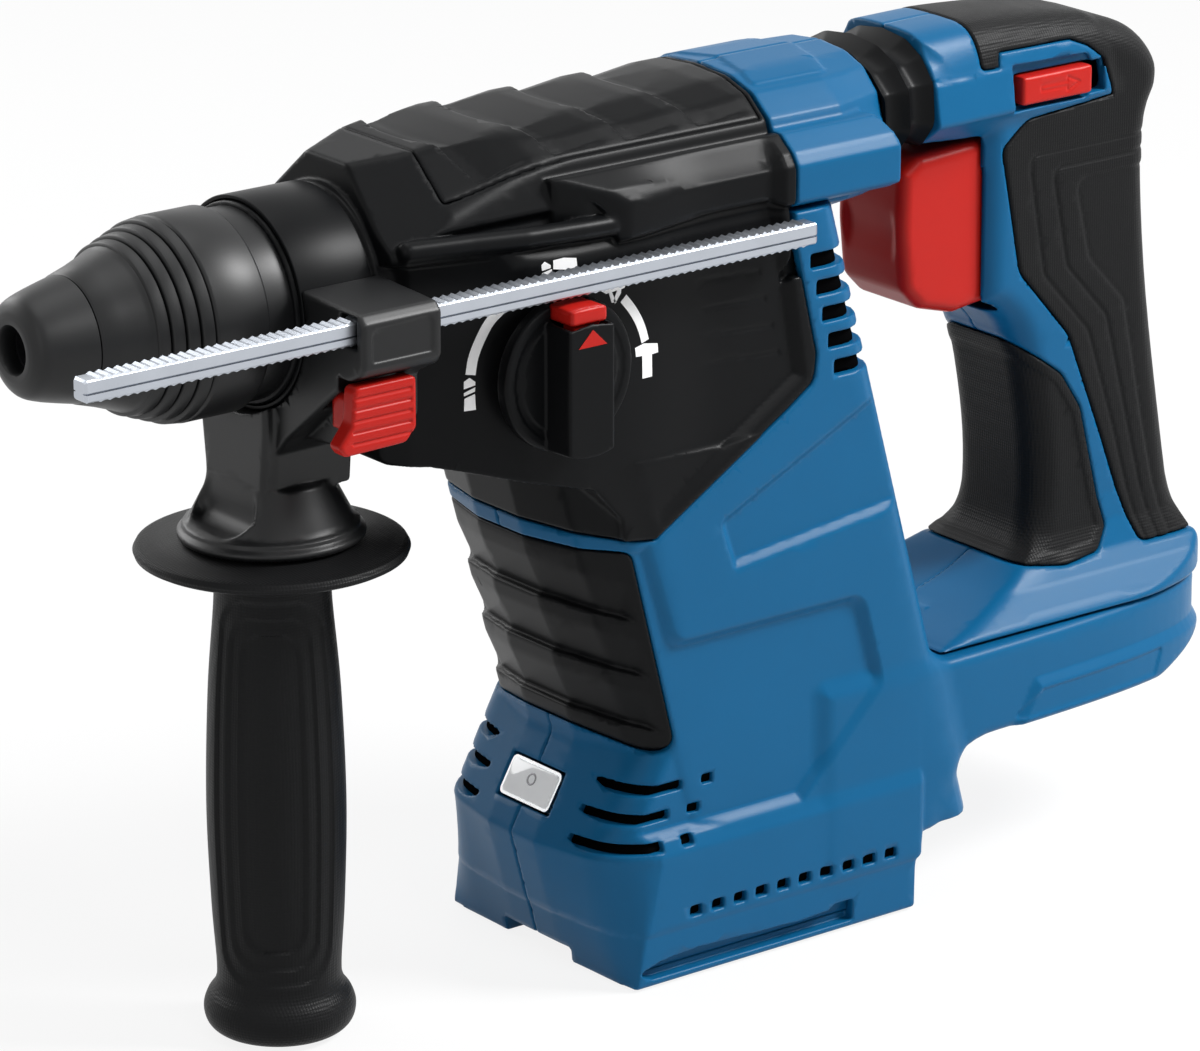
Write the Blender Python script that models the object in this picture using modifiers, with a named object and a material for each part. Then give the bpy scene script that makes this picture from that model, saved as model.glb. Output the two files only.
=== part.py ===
"""Cordless rotary hammer, modelled in metres as separate pieces on their real joint axes.

x runs back from the mouth of the tool socket, y to the tool's right and z up, all measured from the
hammer axis. One empty carries everything, so that the world origin is the centre of the battery seat.
"""

import math

import bmesh
import bpy
from mathutils import Matrix, Vector

# Clearances
GAP = 0.0003
RUN = 0.0004
LOOSE = 0.0008

# Reach of a cutter that only has to pass right through, and how far joined shapes run into each other
CLEAR_OF = 0.06
BITE = 0.001

# Facets round a turned piece: inside, round the spindle, and where it shows
ROUND_STEPS = 16
SPINDLE_STEPS = 20
OUTER_STEPS = 24

# Place of the hammer axis over the battery seat, and the casing's lowest edge
AXIS_HEIGHT = 0.166
SEAT_X = 0.188
RIM_DROP = 0.0145

# Tool socket and chuck
SOCKET_R = 0.0052
CAP_FRONT_X = -0.004
CAP_END_X = 0.0105
CAP_R = 0.0147
HOLDER_R = 0.0113
SLEEVE_END_X = 0.050
SLEEVE_R = 0.024
SLEEVE_WALL = 0.0010
SLEEVE_TRAVEL = 0.0065
BALL_X = 0.030
BALL_R = 0.0035
RING_R = 0.016
SPRING_TURNS = 5
CHUCK_WIRE_R = 0.0008
SHOULDER_X = 0.0485

# Spindle and hammer mechanism
CYLINDER_R = 0.013
SPINDLE_R = 0.016
SPINDLE_END_X = 0.125
BOLT_BORE_R = 0.008
PISTON_FRONT_X = 0.098
PISTON_WALL = 0.003
WOBBLE_X = 0.142
WOBBLE_R = 0.013
FINGER_R = 0.003
BEARING_X = 0.079
BEARING_LENGTH = 0.011
BEARING_WALL = 0.0053

# Gears: spindle gear, pinion on the intermediate shaft, bevel pair to the motor
MODULE = 0.001
SPINDLE_TEETH = 44
PINION_TEETH = 16
GEAR_X = 0.110
GEAR_WIDTH = 0.010
SHAFT_R = 0.005
SHAFT_FRONT_X = 0.102
SHAFT_END_X = 0.186
SHAFT_BEARING_R = 0.009
SHAFT_BEARING_LENGTH = 0.006
BEVEL_R = 0.0160
BEVEL_TEETH = 36
BEVEL_FACE = 0.004
MOTOR_TEETH = 8
FLANGE_THICKNESS = 0.005
FLANGE_R = 0.026
GEAR_ROOM_END_X = 0.1785
GEAR_ROOM_HALF_WIDTH = 0.0232

# Motor, along its leaning axis from the point where it crosses the intermediate shaft
MOTOR_LEAN_DEG = 17.5
MOTOR_CROSS_X = 0.1615
MOTOR_SHAFT_R = 0.004
MOTOR_BEARING_R = 0.011
MOTOR_BEARING_LENGTH = 0.008
BEARING_TOP_S = 0.034
FAN_S = 0.045
FAN_LENGTH = 0.009
FAN_R = 0.0265
FAN_BLADES = 12
STATOR_S = 0.058
STATOR_LENGTH = 0.036
STATOR_R = 0.0265
ROTOR_R = 0.0135
AIR_GAP = 0.0007
BEARING_LOW_S = 0.098

# Casing
HALF_WIDTH = 0.0365
UPPER_HALF_WIDTH = 0.030
NECK_R = 0.0237
NECK_END_X = 0.086
GEAR_FRONT_X = 0.0825
GEAR_END_X = 0.1917
CAP_REAR_X = 0.2297
LEDGE_FRONT_X = 0.142
LEDGE_END_X = 0.2246
LEDGE_HALF_WIDTH = 0.0372
COLUMN_LEAN = 0.28
COLUMN_FRONT_X = 0.131
COLUMN_FRONT_Z = -0.0667
COLUMN_NOSE = 0.020
COLUMN_REAR_X = 0.228
COLUMN_TAIL = 0.008
SKIRT_FRONT_X = 0.1345
SKIRT_HALF_WIDTH = 0.038
SKIRT_END_X = 0.234
SKIRT_TOP_RISE = 0.0545
SKIRT_RIDGE_RISE = 0.0330
SKIRT_FOOT_RISE = 0.0055
SKIRT_FRONT_SLOPE = 0.0125
SKIRT_UNDERCUT = 0.0085
FOOT_END_X = 0.350
FOOT_TOP_Z = -0.1185
FOOT_BOTTOM_Z = -0.1415
FOOT_ARC_R = 0.0235
FOOT_ARC_X = 0.261
WELL_HALF_WIDTH = 0.0315
RAIL_DEPTH = 0.004
RAIL_HEIGHT = 0.004
RAIL_RISE = 0.0035
ROOM_HEIGHT = 0.026
NOTCH_HEIGHT = 0.0045
SEAT_THICKNESS = 0.0012
CONTACT_END_X = 0.1757
CONTACT_DROP = 0.0033
BLADE_DROP = 0.0103
BUMPER_THICKNESS = 0.003
BUMPER_TOP_Z = -0.0690
BUMPER_END_Z = -0.1235
BUMPER_EDGE_X = 0.1435
BUMPER_GROOVES = 3
LENS_LENGTH = 0.0105
LENS_WIDTH = 0.0195
LENS_DEPTH = 0.0035
LENS_PROUD = 0.0006
CONTACT_BLADES = 4
BLADE_PITCH = 0.0085
BLADE_THICKNESS = 0.001
BOARD_THICKNESS = 0.0016
CAPACITOR_R = 0.0055
CAPACITOR_TOP = 0.008
VENT_FRONT_X = 0.1625
VENT_END_X = 0.2240
SIDE_VENTS = 10
VENT_WIDTH = 0.0036
VENT_HEIGHT = 0.0025
REAR_SLOTS = 5
REAR_SLOT_PITCH = 0.0069
REAR_SLOT_HEIGHT = 0.0036
REAR_SLOT_TOP_Z = -0.0045

# Ribbed top cover
COVER_FRONT_X = 0.104
COVER_END_X = 0.190
COVER_THICKNESS = 0.003
COVER_RIBS = 5
RIB_GROOVE = 0.0035
RIB_DEPTH = 0.0012

# Rear handle
HANDLE_HALF_WIDTH = 0.017
HANDLE_FRONT_X = 0.250
ARM_HALF_WIDTH = 0.022
ARM_END_X = 0.306
ARM_TAPER = 0.17
PIVOT_X = 0.262
PIVOT_Z = -0.1265
PIVOT_R = 0.003
PIN_HALF_LENGTH = 0.0175
KNUCKLE_R = 0.0065
KNUCKLE_HALF_WIDTH = 0.010
SADDLE_GAP = 0.0007
SADDLE_HEIGHT = 0.0135
GRIP_THICKNESS = 0.0025
TRIGGER_HALF_WIDTH = 0.013
TRIGGER_TRAVEL = 0.007
TRIGGER_END_X = 0.284
TRIGGER_TOP_Z = 0.006
TRIGGER_LOW_Z = -0.0375
SWITCH_HALF_WIDTH = 0.012
SWITCH_END_X = 0.317
SWITCH_LOW_Z = -0.0305
SWITCH_TOP_Z = 0.005
SLIDER_TRAVEL = 0.005
SLIDER_X = 0.279
SLIDER_LENGTH = 0.023
SLIDER_HEIGHT = 0.0072
SLIDER_Z = 0.0182
SLIDER_HALF_WIDTH = 0.0205
BELLOWS_VALLEYS = 2
BELLOWS_WALL = 0.0015
BELLOWS_FOLD = 0.0034
BELLOWS_LOW_Z = 0.0075
BELLOWS_HIGH_Z = 0.0352
BELLOWS_FRONT_HALF = 0.0245
BELLOWS_REAR_HALF = 0.0200
HANDLE_SPRING_R = 0.006
HANDLE_SPRING_Z = 0.0215
HANDLE_WIRE_R = 0.0009

# Mode knob
KNOB_X = 0.1215
KNOB_Z = -0.0195
KNOB_R = 0.0185
KNOB_PLATE = 0.004
KNOB_BAR_WIDTH = 0.0135
KNOB_BAR_HEIGHT = 0.0085
KNOB_STEM_R = 0.007
BUTTON_TRAVEL = 0.0025
BUTTON_LENGTH = 0.0065
BUTTON_SWEEP_R = 0.0191
KNOB_STEM_END_Y = -0.0238
KNOB_PIN_OFFSET = 0.0035
KNOB_PIN_R = 0.002
FORK_Y = -0.0228
FORK_THICKNESS = 0.0022

# Side handle and depth rod
STRAP_WALL = 0.001
STRAP_WIDTH = 0.020
CLAMP_X = 0.058
CLAMP_LENGTH = 0.022
GRIP_AXIS_X = 0.0655
GUARD_R = 0.0323
GRIP_R = 0.0165
GRIP_END_R = 0.0182
GRIP_WAIST = [(0.12, 0.0027), (0.306, 0.0008), (0.533, 0.0)]
GRIP_WAIST += [(0.736, 0.0008), (0.866, 0.0017), (0.907, 0.0012)]
CLAMP_BOLT_R = 0.004
CLAMP_BASE_Z = -0.0570
BOLT_END_Z = -0.0850
BUTTON_STAND_OFF = 0.002
DEPTH_BUTTON_THICKNESS = 0.0047
ROD_LENGTH = 0.206
ROD_FRONT_X = -0.0135
ROD_STAND_OFF = 0.0055
ROD_Z = 0.003
ROD_R = 0.003
ROD_THICKNESS = 0.005
ROD_TEETH = 32
ROD_TOOTH_DEPTH = 0.0005
DEPTH_BUTTON_TRAVEL = 0.0025

# Places that follow from the sizes above
SEAT_Z = -AXIS_HEIGHT
RIM_Z = SEAT_Z - RIM_DROP
ROD_Y = -HALF_WIDTH - ROD_STAND_OFF
BUTTON_BACK_Y = -HALF_WIDTH - BUTTON_STAND_OFF
SHAFT_Z = -MODULE * (SPINDLE_TEETH + PINION_TEETH) / 2
NECK_X = SLEEVE_END_X + SLEEVE_TRAVEL + RUN
BEARING_R = SPINDLE_R + BEARING_WALL
STRAP_R = NECK_R + GAP + STRAP_WALL
PISTON_R = CYLINDER_R - GAP
PISTON_BORE_R = PISTON_R - PISTON_WALL
PIVOT = (PIVOT_X, 0.0, PIVOT_Z)
MOTOR_TILT = math.radians(90 + 90 - MOTOR_LEAN_DEG)
MOTOR_CROSS = Vector((MOTOR_CROSS_X, 0.0, SHAFT_Z))

for old in list(bpy.data.objects):
    bpy.data.objects.remove(old)

parts = bpy.data.collections.new("rotary_hammer")
cutters = bpy.data.collections.new("cutters")
cutters.hide_render = True
for collection in (parts, cutters):
    bpy.context.scene.collection.children.link(collection)

axis_empty = bpy.data.objects.new("hammer_axis", None)
axis_empty.location = (-SEAT_X, 0.0, AXIS_HEIGHT)
parts.objects.link(axis_empty)


def finish(name, colour, roughness, metallic=0.0):
    material = bpy.data.materials.new(name)
    material.use_nodes = True
    shader = material.node_tree.nodes["Principled BSDF"]
    shader.inputs["Base Color"].default_value = (*colour, 1.0)
    shader.inputs["Roughness"].default_value = roughness
    shader.inputs["Metallic"].default_value = metallic
    return material


BLUE = finish("blue_casing", (0.006, 0.10, 0.27), 0.45)
BLACK = finish("black_plastic", (0.012, 0.012, 0.014), 0.42)
RUBBER = finish("black_rubber", (0.010, 0.010, 0.011), 0.62)
RED = finish("red_control", (0.62, 0.012, 0.010), 0.38)
STEEL = finish("bright_steel", (0.60, 0.61, 0.63), 0.28, 1.0)
DARK_STEEL = finish("dark_steel", (0.20, 0.20, 0.21), 0.40, 1.0)
ALUMINIUM = finish("cast_aluminium", (0.55, 0.56, 0.57), 0.50, 1.0)
COPPER = finish("copper_winding", (0.60, 0.26, 0.12), 0.40, 1.0)
BOARD = finish("circuit_board", (0.02, 0.12, 0.05), 0.50)
CLEAR = finish("light_lens", (0.85, 0.87, 0.88), 0.10)


def is_helper(obj):
    return cutters in obj.users_collection


def held(obj, at=(0.0, 0.0, 0.0)):
    """Puts an object under the hammer axis, with its origin moved to a point given in that frame."""
    point = Vector(at)
    obj.parent = axis_empty
    if point.length:
        obj.data.transform(Matrix.Translation(-point))
        obj.location = point
    return obj


def part(obj, name, material, at=(0.0, 0.0, 0.0), smooth=True):
    """Makes an object a named piece of the hammer."""
    obj.name = name
    obj.data.name = name
    if obj.parent is None or Vector(at).length:
        held(obj, at)
    for collection in list(obj.users_collection):
        collection.objects.unlink(obj)
    parts.objects.link(obj)
    obj.hide_render = False
    obj.display_type = "SOLID"
    obj.data.materials.clear()
    obj.data.materials.append(material)
    if smooth:
        obj.data.shade_smooth()
        obj.data.set_sharp_from_angle(angle=math.radians(35))
    return obj


def helper(obj):
    """Keeps an object as a cutter, out of the finished pieces."""
    if obj.parent is None:
        held(obj)
    if not is_helper(obj):
        for collection in list(obj.users_collection):
            collection.objects.unlink(obj)
        cutters.objects.link(obj)
    obj.hide_render = True
    obj.display_type = "WIRE"
    return obj


def from_bmesh(bm, name="shape"):
    mesh = bpy.data.meshes.new(name)
    bm.to_mesh(mesh)
    bm.free()
    obj = bpy.data.objects.new(name, mesh)
    cutters.objects.link(obj)
    return obj


def as_mesh(curve_object):
    """A curve object made a closed mesh, with its place in the mesh."""
    bpy.context.view_layer.update()
    graph = bpy.context.evaluated_depsgraph_get()
    mesh = bpy.data.meshes.new_from_object(curve_object.evaluated_get(graph))
    mesh.transform(curve_object.matrix_world)
    bpy.data.objects.remove(curve_object)
    bm = bmesh.new()
    bm.from_mesh(mesh)
    bmesh.ops.remove_doubles(bm, verts=bm.verts, dist=1e-6)
    bmesh.ops.recalc_face_normals(bm, faces=bm.faces)
    bpy.data.meshes.remove(mesh)
    return from_bmesh(bm)


PLANES = {
    "xy": Matrix.Identity(4),
    "xz": Matrix(((1, 0, 0, 0), (0, 0, -1, 0), (0, 1, 0, 0), (0, 0, 0, 1))),
    "yz": Matrix(((0, 0, 1, 0), (1, 0, 0, 0), (0, 1, 0, 0), (0, 0, 0, 1))),
}


def slab(outline, plane, low, high, holes=()):
    """A flat outline in a plane, thick from low to high along that plane's remaining axis."""
    curve = bpy.data.curves.new("outline", "CURVE")
    curve.dimensions = "2D"
    curve.fill_mode = "BOTH"
    curve.extrude = (high - low) / 2
    for ring in (outline, *holes):
        spline = curve.splines.new("POLY")
        spline.points.add(len(ring) - 1)
        for point, (u, v) in zip(spline.points, ring):
            point.co = (u, v, 0.0, 1.0)
        spline.use_cyclic_u = True
    obj = bpy.data.objects.new("outline", curve)
    cutters.objects.link(obj)
    middle = (low + high) / 2
    along = {"xy": (0, 0, middle), "xz": (0, middle, 0), "yz": (middle, 0, 0)}[plane]
    obj.matrix_world = Matrix.Translation(along) @ PLANES[plane]
    return as_mesh(obj)


def box(low, high):
    bm = bmesh.new()
    size = [b - a for a, b in zip(low, high)]
    middle = [(a + b) / 2 for a, b in zip(low, high)]
    placed = Matrix.Translation(middle) @ Matrix.Diagonal((*size, 1.0))
    bmesh.ops.create_cube(bm, size=1.0, matrix=placed)
    return from_bmesh(bm)


def turn_matrix(axis):
    return {
        "x": Matrix.Rotation(math.pi / 2, 4, "Y"),
        "y": Matrix.Rotation(-math.pi / 2, 4, "X"),
        "z": Matrix.Identity(4),
    }[axis]


def cylinder(radius, low, high, axis, centre=(0.0, 0.0, 0.0), sides=24, end_radius=None):
    """A round bar along an axis, from low to high on it; its centre line passes through centre."""
    bm = bmesh.new()
    bmesh.ops.create_cone(
        bm,
        cap_ends=True,
        segments=sides,
        radius1=radius,
        radius2=radius if end_radius is None else end_radius,
        depth=high - low,
    )
    direction = {"x": Vector((1, 0, 0)), "y": Vector((0, 1, 0)), "z": Vector((0, 0, 1))}[axis]
    place = Vector(centre) - direction * Vector(centre).dot(direction) + direction * (low + high) / 2
    bm.transform(Matrix.Translation(place) @ turn_matrix(axis))
    return from_bmesh(bm)


def signed_volume(obj):
    bpy.context.view_layer.update()
    bm = bmesh.new()
    bm.from_object(obj, bpy.context.evaluated_depsgraph_get())
    volume = bm.calc_volume(signed=True)
    bm.free()
    return volume


def turned(profile, axis="x", centre=(0.0, 0.0, 0.0), steps=ROUND_STEPS, tilt=None):
    """A turned shape from (along, radius) points, given in order round the section."""
    bm = bmesh.new()
    ring = [bm.verts.new((radius, 0.0, along)) for along, radius in profile]
    open_ends = profile[0][1] == 0.0 and profile[-1][1] == 0.0
    pairs = list(zip(ring, ring[1:]))
    if not open_ends:
        pairs.append((ring[-1], ring[0]))
    for a, b in pairs:
        bm.edges.new((a, b))
    obj = from_bmesh(bm)
    screw = obj.modifiers.new("turn", "SCREW")
    screw.axis = "Z"
    screw.steps = steps
    screw.render_steps = steps
    screw.use_merge_vertices = True
    screw.merge_threshold = 1e-5
    screw.use_normal_calculate = True
    screw.use_normal_flip = signed_volume(obj) < 0
    obj.parent = axis_empty
    rotation = turn_matrix(axis) if tilt is None else Matrix.Rotation(tilt, 4, "Y")
    obj.matrix_local = Matrix.Translation(centre) @ rotation
    return obj


def boolean(target, tool, operation):
    helper(tool)
    if target.parent is None:
        held(target)
    modifier = target.modifiers.new(operation.lower(), "BOOLEAN")
    modifier.operation = operation
    modifier.object = tool
    return target


def cut(target, *tools):
    for tool in tools:
        boolean(target, tool, "DIFFERENCE")
    return target


def join(target, *tools):
    for tool in tools:
        boolean(target, tool, "UNION")
    return target


def keep(target, *tools):
    for tool in tools:
        boolean(target, tool, "INTERSECT")
    return target


def twin(obj):
    """Another object with the same mesh and modifiers."""
    copy = obj.copy()
    copy.data = obj.data.copy()
    cutters.objects.link(copy)
    return copy


def mirrored(half):
    """A closed outline from its right-hand half, listed from top to bottom at y or x >= 0."""
    return list(half) + [(-u, v) for u, v in reversed(half) if u > 0]


def arc(centre, radius, start, end, count):
    """Points on a circle, angles in degrees."""
    points = []
    for step in range(count + 1):
        angle = math.radians(start + (end - start) * step / count)
        points.append((centre[0] + radius * math.cos(angle), centre[1] + radius * math.sin(angle)))
    return points


def inset(outline, distance):
    """A closed outline moved inwards by a distance, corner by corner."""
    area = sum(a[0] * b[1] - b[0] * a[1] for a, b in zip(outline, outline[1:] + outline[:1]))
    points = [Vector(p) for p in (outline if area > 0 else outline[::-1])]
    moved = []
    for before, here, after in zip(points[-1:] + points[:-1], points, points[1:] + points[:1]):
        first = (here - before).normalized()
        second = (after - here).normalized()
        normal = Vector((-first.y - second.y, first.x + second.x)).normalized()
        spread = max(normal.dot(Vector((-first.y, first.x))), 0.4)
        moved.append(tuple(here + normal * distance / spread))
    return moved


def blunt_plan(front_x, nose, rear_x, tail, half_width, square=2.5, steps=6):
    """A plan outline with a blunt rounded nose and a rounded tail, both of a given depth."""
    quarter = []
    for step in range(steps + 1):
        angle = math.pi / 2 * step / steps
        along = 1 - max(math.cos(angle), 0.0) ** (2 / square)
        quarter.append((along, math.sin(angle) ** (2 / square)))
    right = [(front_x + nose * along, half_width * across) for along, across in quarter]
    right += [(rear_x - tail * along, half_width * across) for along, across in reversed(quarter)]
    return right + [(x, -y) for x, y in reversed(right) if y > 0]


def lean(obj, slope, level):
    """Shears a shape so that it goes back as it goes down from a level."""
    matrix = Matrix.Identity(4)
    matrix[0][2] = -slope
    matrix[0][3] = slope * level
    obj.data.transform(matrix)
    return obj


def gear_outline(teeth, module, addendum=0.75, dedendum=1.05, thickness=0.43):
    """A toothed wheel's outline with straight flanks, one tooth centred on the first axis."""
    pitch_r = module * teeth / 2
    tooth = 2 * math.pi / teeth
    outline = []
    for index in range(teeth):
        middle = tooth * index
        for radius, share in (
            (pitch_r - dedendum * module, -thickness * 0.5 - 0.11),
            (pitch_r + addendum * module, -thickness * 0.5 + 0.10),
            (pitch_r + addendum * module, thickness * 0.5 - 0.10),
            (pitch_r - dedendum * module, thickness * 0.5 + 0.11),
        ):
            angle = middle + tooth * share
            outline.append((radius * math.cos(angle), radius * math.sin(angle)))
    return outline


def on_motor_axis(obj):
    """Moves a shape built along +z from zero onto the motor's leaning axis."""
    obj.parent = axis_empty
    obj.matrix_local = Matrix.Translation(MOTOR_CROSS) @ Matrix.Rotation(MOTOR_TILT, 4, "Y")
    return obj


def motor_turned(profile, steps=ROUND_STEPS):
    return turned(profile, centre=MOTOR_CROSS, steps=steps, tilt=MOTOR_TILT)


def ring_profile(low, high, inner, outer):
    return [(low, inner), (low, outer), (high, outer), (high, inner)]


def build_chuck():
    nose_depth = CAP_END_X - CAP_FRONT_X
    cap_outer = [(CAP_FRONT_X, SOCKET_R + GAP), (CAP_FRONT_X, CAP_R * 0.48)]
    for along, share in ((0.04, 0.60), (0.12, 0.75), (0.35, 0.845), (0.68, 0.93)):
        cap_outer.append((CAP_FRONT_X + along * nose_depth, share * CAP_R))
    seat_x = CAP_FRONT_X + 0.0045
    dust_cap = turned(
        cap_outer
        + [(CAP_END_X, CAP_R), (CAP_END_X, HOLDER_R + GAP), (seat_x, HOLDER_R + GAP)]
        + [(seat_x, SOCKET_R + GAP)],
        steps=OUTER_STEPS,
    )
    part(dust_cap, "dust_cap", RUBBER)

    holder = turned(
        [
            (seat_x + GAP, SOCKET_R),
            (seat_x + GAP, HOLDER_R * 0.85),
            (seat_x + 0.002, HOLDER_R),
            (SHOULDER_X, HOLDER_R),
            (SHOULDER_X, SPINDLE_R),
            (SPINDLE_END_X, SPINDLE_R),
            (SPINDLE_END_X, CYLINDER_R),
            (0.066, CYLINDER_R),
            (0.065, BOLT_BORE_R),
            (SHOULDER_X, BOLT_BORE_R),
            (SHOULDER_X - 0.002, SOCKET_R),
        ],
        steps=SPINDLE_STEPS,
    )
    cut(holder, cylinder(BALL_R + GAP, -2 * HOLDER_R, 2 * HOLDER_R, "y", (BALL_X, 0, 0), 16))
    part(holder, "tool_holder", DARK_STEEL)

    ball_y = SOCKET_R - 0.0006 + BALL_R
    for side, name in ((-1, "locking_ball_left"), (1, "locking_ball_right")):
        bm = bmesh.new()
        bmesh.ops.create_uvsphere(bm, u_segments=12, v_segments=8, radius=BALL_R)
        ball = from_bmesh(bm)
        held(ball)
        ball.location = (BALL_X, side * ball_y, 0.0)
        part(ball, name, STEEL)

    ball_reach = ball_y + BALL_R + GAP
    ring_end = BALL_X + BALL_R + 0.001
    retaining_ring = turned(ring_profile(BALL_X - BALL_R - 0.0005, ring_end, ball_reach, RING_R))
    part(retaining_ring, "ball_retaining_ring", DARK_STEEL)

    collar_r = SLEEVE_R - SLEEVE_WALL - RUN
    sleeve_front = CAP_END_X + GAP
    skirt_x = ring_end + 0.002
    outer = [(sleeve_front, ball_reach), (sleeve_front, CAP_R + 0.0002)]
    outer += [(0.016, 0.0163), (0.0215, 0.0182)]
    step_count = 3
    step_length = 0.0040
    step_from = 0.0200
    step_rise = (SLEEVE_R - 0.0005 - step_from) / (step_count - 1)
    for index in range(step_count):
        start = 0.0228 + index * step_length
        radius = step_from + index * step_rise
        outer += [(start, radius - 0.0004), (start, radius), (start + step_length - 0.0006, radius + 0.0003)]
        outer.append((start + step_length - 0.0006, radius - 0.0004))
    sleeve = turned(
        outer
        + [(0.0362, SLEEVE_R), (SLEEVE_END_X, SLEEVE_R), (SLEEVE_END_X, SLEEVE_R - SLEEVE_WALL)]
        + [(skirt_x, SLEEVE_R - SLEEVE_WALL), (skirt_x, RING_R + GAP)]
        + [(BALL_X - BALL_R - 0.0005 - GAP, RING_R + GAP), (BALL_X - BALL_R - 0.0005 - GAP, ball_reach)],
        steps=OUTER_STEPS,
    )
    part(sleeve, "locking_sleeve", BLACK)

    collar_front = skirt_x + SLEEVE_TRAVEL + RUN + 0.002
    collar_ring = ring_profile(collar_front, NECK_X + 0.004, SPINDLE_R + 0.0025, collar_r)
    collar = turned(collar_ring, steps=OUTER_STEPS)
    part(collar, "chuck_collar", BLACK)
    seal = turned(
        ring_profile(NECK_X - 0.004, NECK_X + 0.001, SPINDLE_R + GAP, SPINDLE_R + 0.0025 - GAP),
        steps=SPINDLE_STEPS,
    )
    part(seal, "spindle_seal", RUBBER)

    spring_from = ring_end + GAP + CHUCK_WIRE_R
    spring_to = SHOULDER_X - GAP - CHUCK_WIRE_R
    spring_r = (HOLDER_R + RING_R) / 2
    spring = coil(spring_from, spring_to, spring_r, CHUCK_WIRE_R, SPRING_TURNS)
    part(spring, "chuck_spring", STEEL)


def coil(low, high, radius, wire_r, turns, centre=(0.0, 0.0, 0.0), points_per_turn=8):
    """A helical spring along x, one unbroken tube."""
    curve = bpy.data.curves.new("coil", "CURVE")
    curve.dimensions = "3D"
    curve.bevel_depth = wire_r
    curve.bevel_resolution = 1
    curve.use_fill_caps = True
    count = turns * points_per_turn + 1
    spline = curve.splines.new("POLY")
    spline.points.add(count - 1)
    for index, point in enumerate(spline.points):
        angle = 2 * math.pi * index / points_per_turn
        along = low + (high - low) * index / (count - 1)
        y = centre[1] + radius * math.cos(angle)
        point.co = (along, y, centre[2] + radius * math.sin(angle), 1.0)
    free_gap = (high - low) / turns - 2 * wire_r
    print(f"coil of {turns} turns: {free_gap * 1000:.2f} mm free between turns")
    obj = bpy.data.objects.new("coil", curve)
    cutters.objects.link(obj)
    return as_mesh(obj)


def build_hammer_mechanism():
    piston_end = WOBBLE_X - 0.008
    eye_r = FINGER_R + 0.0012
    piston = turned(
        [
            (PISTON_FRONT_X, PISTON_BORE_R),
            (PISTON_FRONT_X, PISTON_R),
            (piston_end, PISTON_R),
            (piston_end, 0.0),
            (piston_end - 0.006, 0.0),
            (piston_end - 0.006, PISTON_BORE_R),
        ]
    )
    tongue = box((piston_end - 0.001, -0.007, -0.003), (WOBBLE_X + 0.008, 0.007, 0.003))
    join(piston, tongue)
    cut(piston, cylinder(eye_r, -0.01, 0.01, "z", (WOBBLE_X, 0, 0), 20))
    part(piston, "piston", STEEL)

    striker_r = PISTON_BORE_R - GAP
    striker = turned(
        [(0.086, 0.0), (0.086, 0.005), (0.101, 0.005), (0.102, striker_r), (0.119, striker_r), (0.119, 0.0)]
    )
    part(striker, "striker", DARK_STEEL)

    bolt = turned(
        [
            (0.040, 0.0),
            (0.040, SOCKET_R - GAP),
            (0.0505, SOCKET_R - GAP),
            (0.0515, BOLT_BORE_R - GAP),
            (0.0605, BOLT_BORE_R - GAP),
            (0.0615, 0.005),
            (0.070, 0.005),
            (0.070, 0.0),
        ]
    )
    part(bolt, "impact_bolt", DARK_STEEL)

    ring_r = WOBBLE_R + GAP
    shaft_axis = (0.0, 0.0, SHAFT_Z)
    wobble_ring = ring_profile(WOBBLE_X - 0.004, WOBBLE_X + 0.004, ring_r, ring_r + 0.0045)
    wobble = turned(wobble_ring, centre=shaft_axis)
    finger = cylinder(FINGER_R, SHAFT_Z + ring_r + 0.002, 0.004, "z", (WOBBLE_X, 0, 0), 16)
    join(wobble, finger)
    part(wobble, "wobble_bearing", DARK_STEEL)

    bearing = turned(
        ring_profile(BEARING_X, BEARING_X + BEARING_LENGTH, SPINDLE_R + GAP, BEARING_R), steps=SPINDLE_STEPS
    )
    part(bearing, "spindle_front_bearing", STEEL)
    bush_x = GEAR_X + GEAR_WIDTH + LOOSE
    bush_r = SPINDLE_R + 0.003
    bush = turned(ring_profile(bush_x, SPINDLE_END_X, SPINDLE_R + GAP, bush_r), steps=SPINDLE_STEPS)
    part(bush, "spindle_rear_bush", DARK_STEEL)

    flange_outline = mirrored(
        [(0.0, FLANGE_R), (0.013, 0.0225), (0.0225, 0.013)]
        + [(FLANGE_R, 0.0), (0.0225, -0.008), (0.0195, -0.011)]
        + [(0.0195, -0.043)]
    )
    flange = slab(
        flange_outline,
        "yz",
        SPINDLE_END_X - FLANGE_THICKNESS + LOOSE,
        SPINDLE_END_X,
        holes=[arc((0.0, 0.0), bush_r + GAP, 360, 0, 20)[:-1]],
    )
    cut(flange, cylinder(SHAFT_R + LOOSE, 0.1, 0.15, "x", shaft_axis, 20))
    part(flange, "intermediate_flange", ALUMINIUM)


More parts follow.
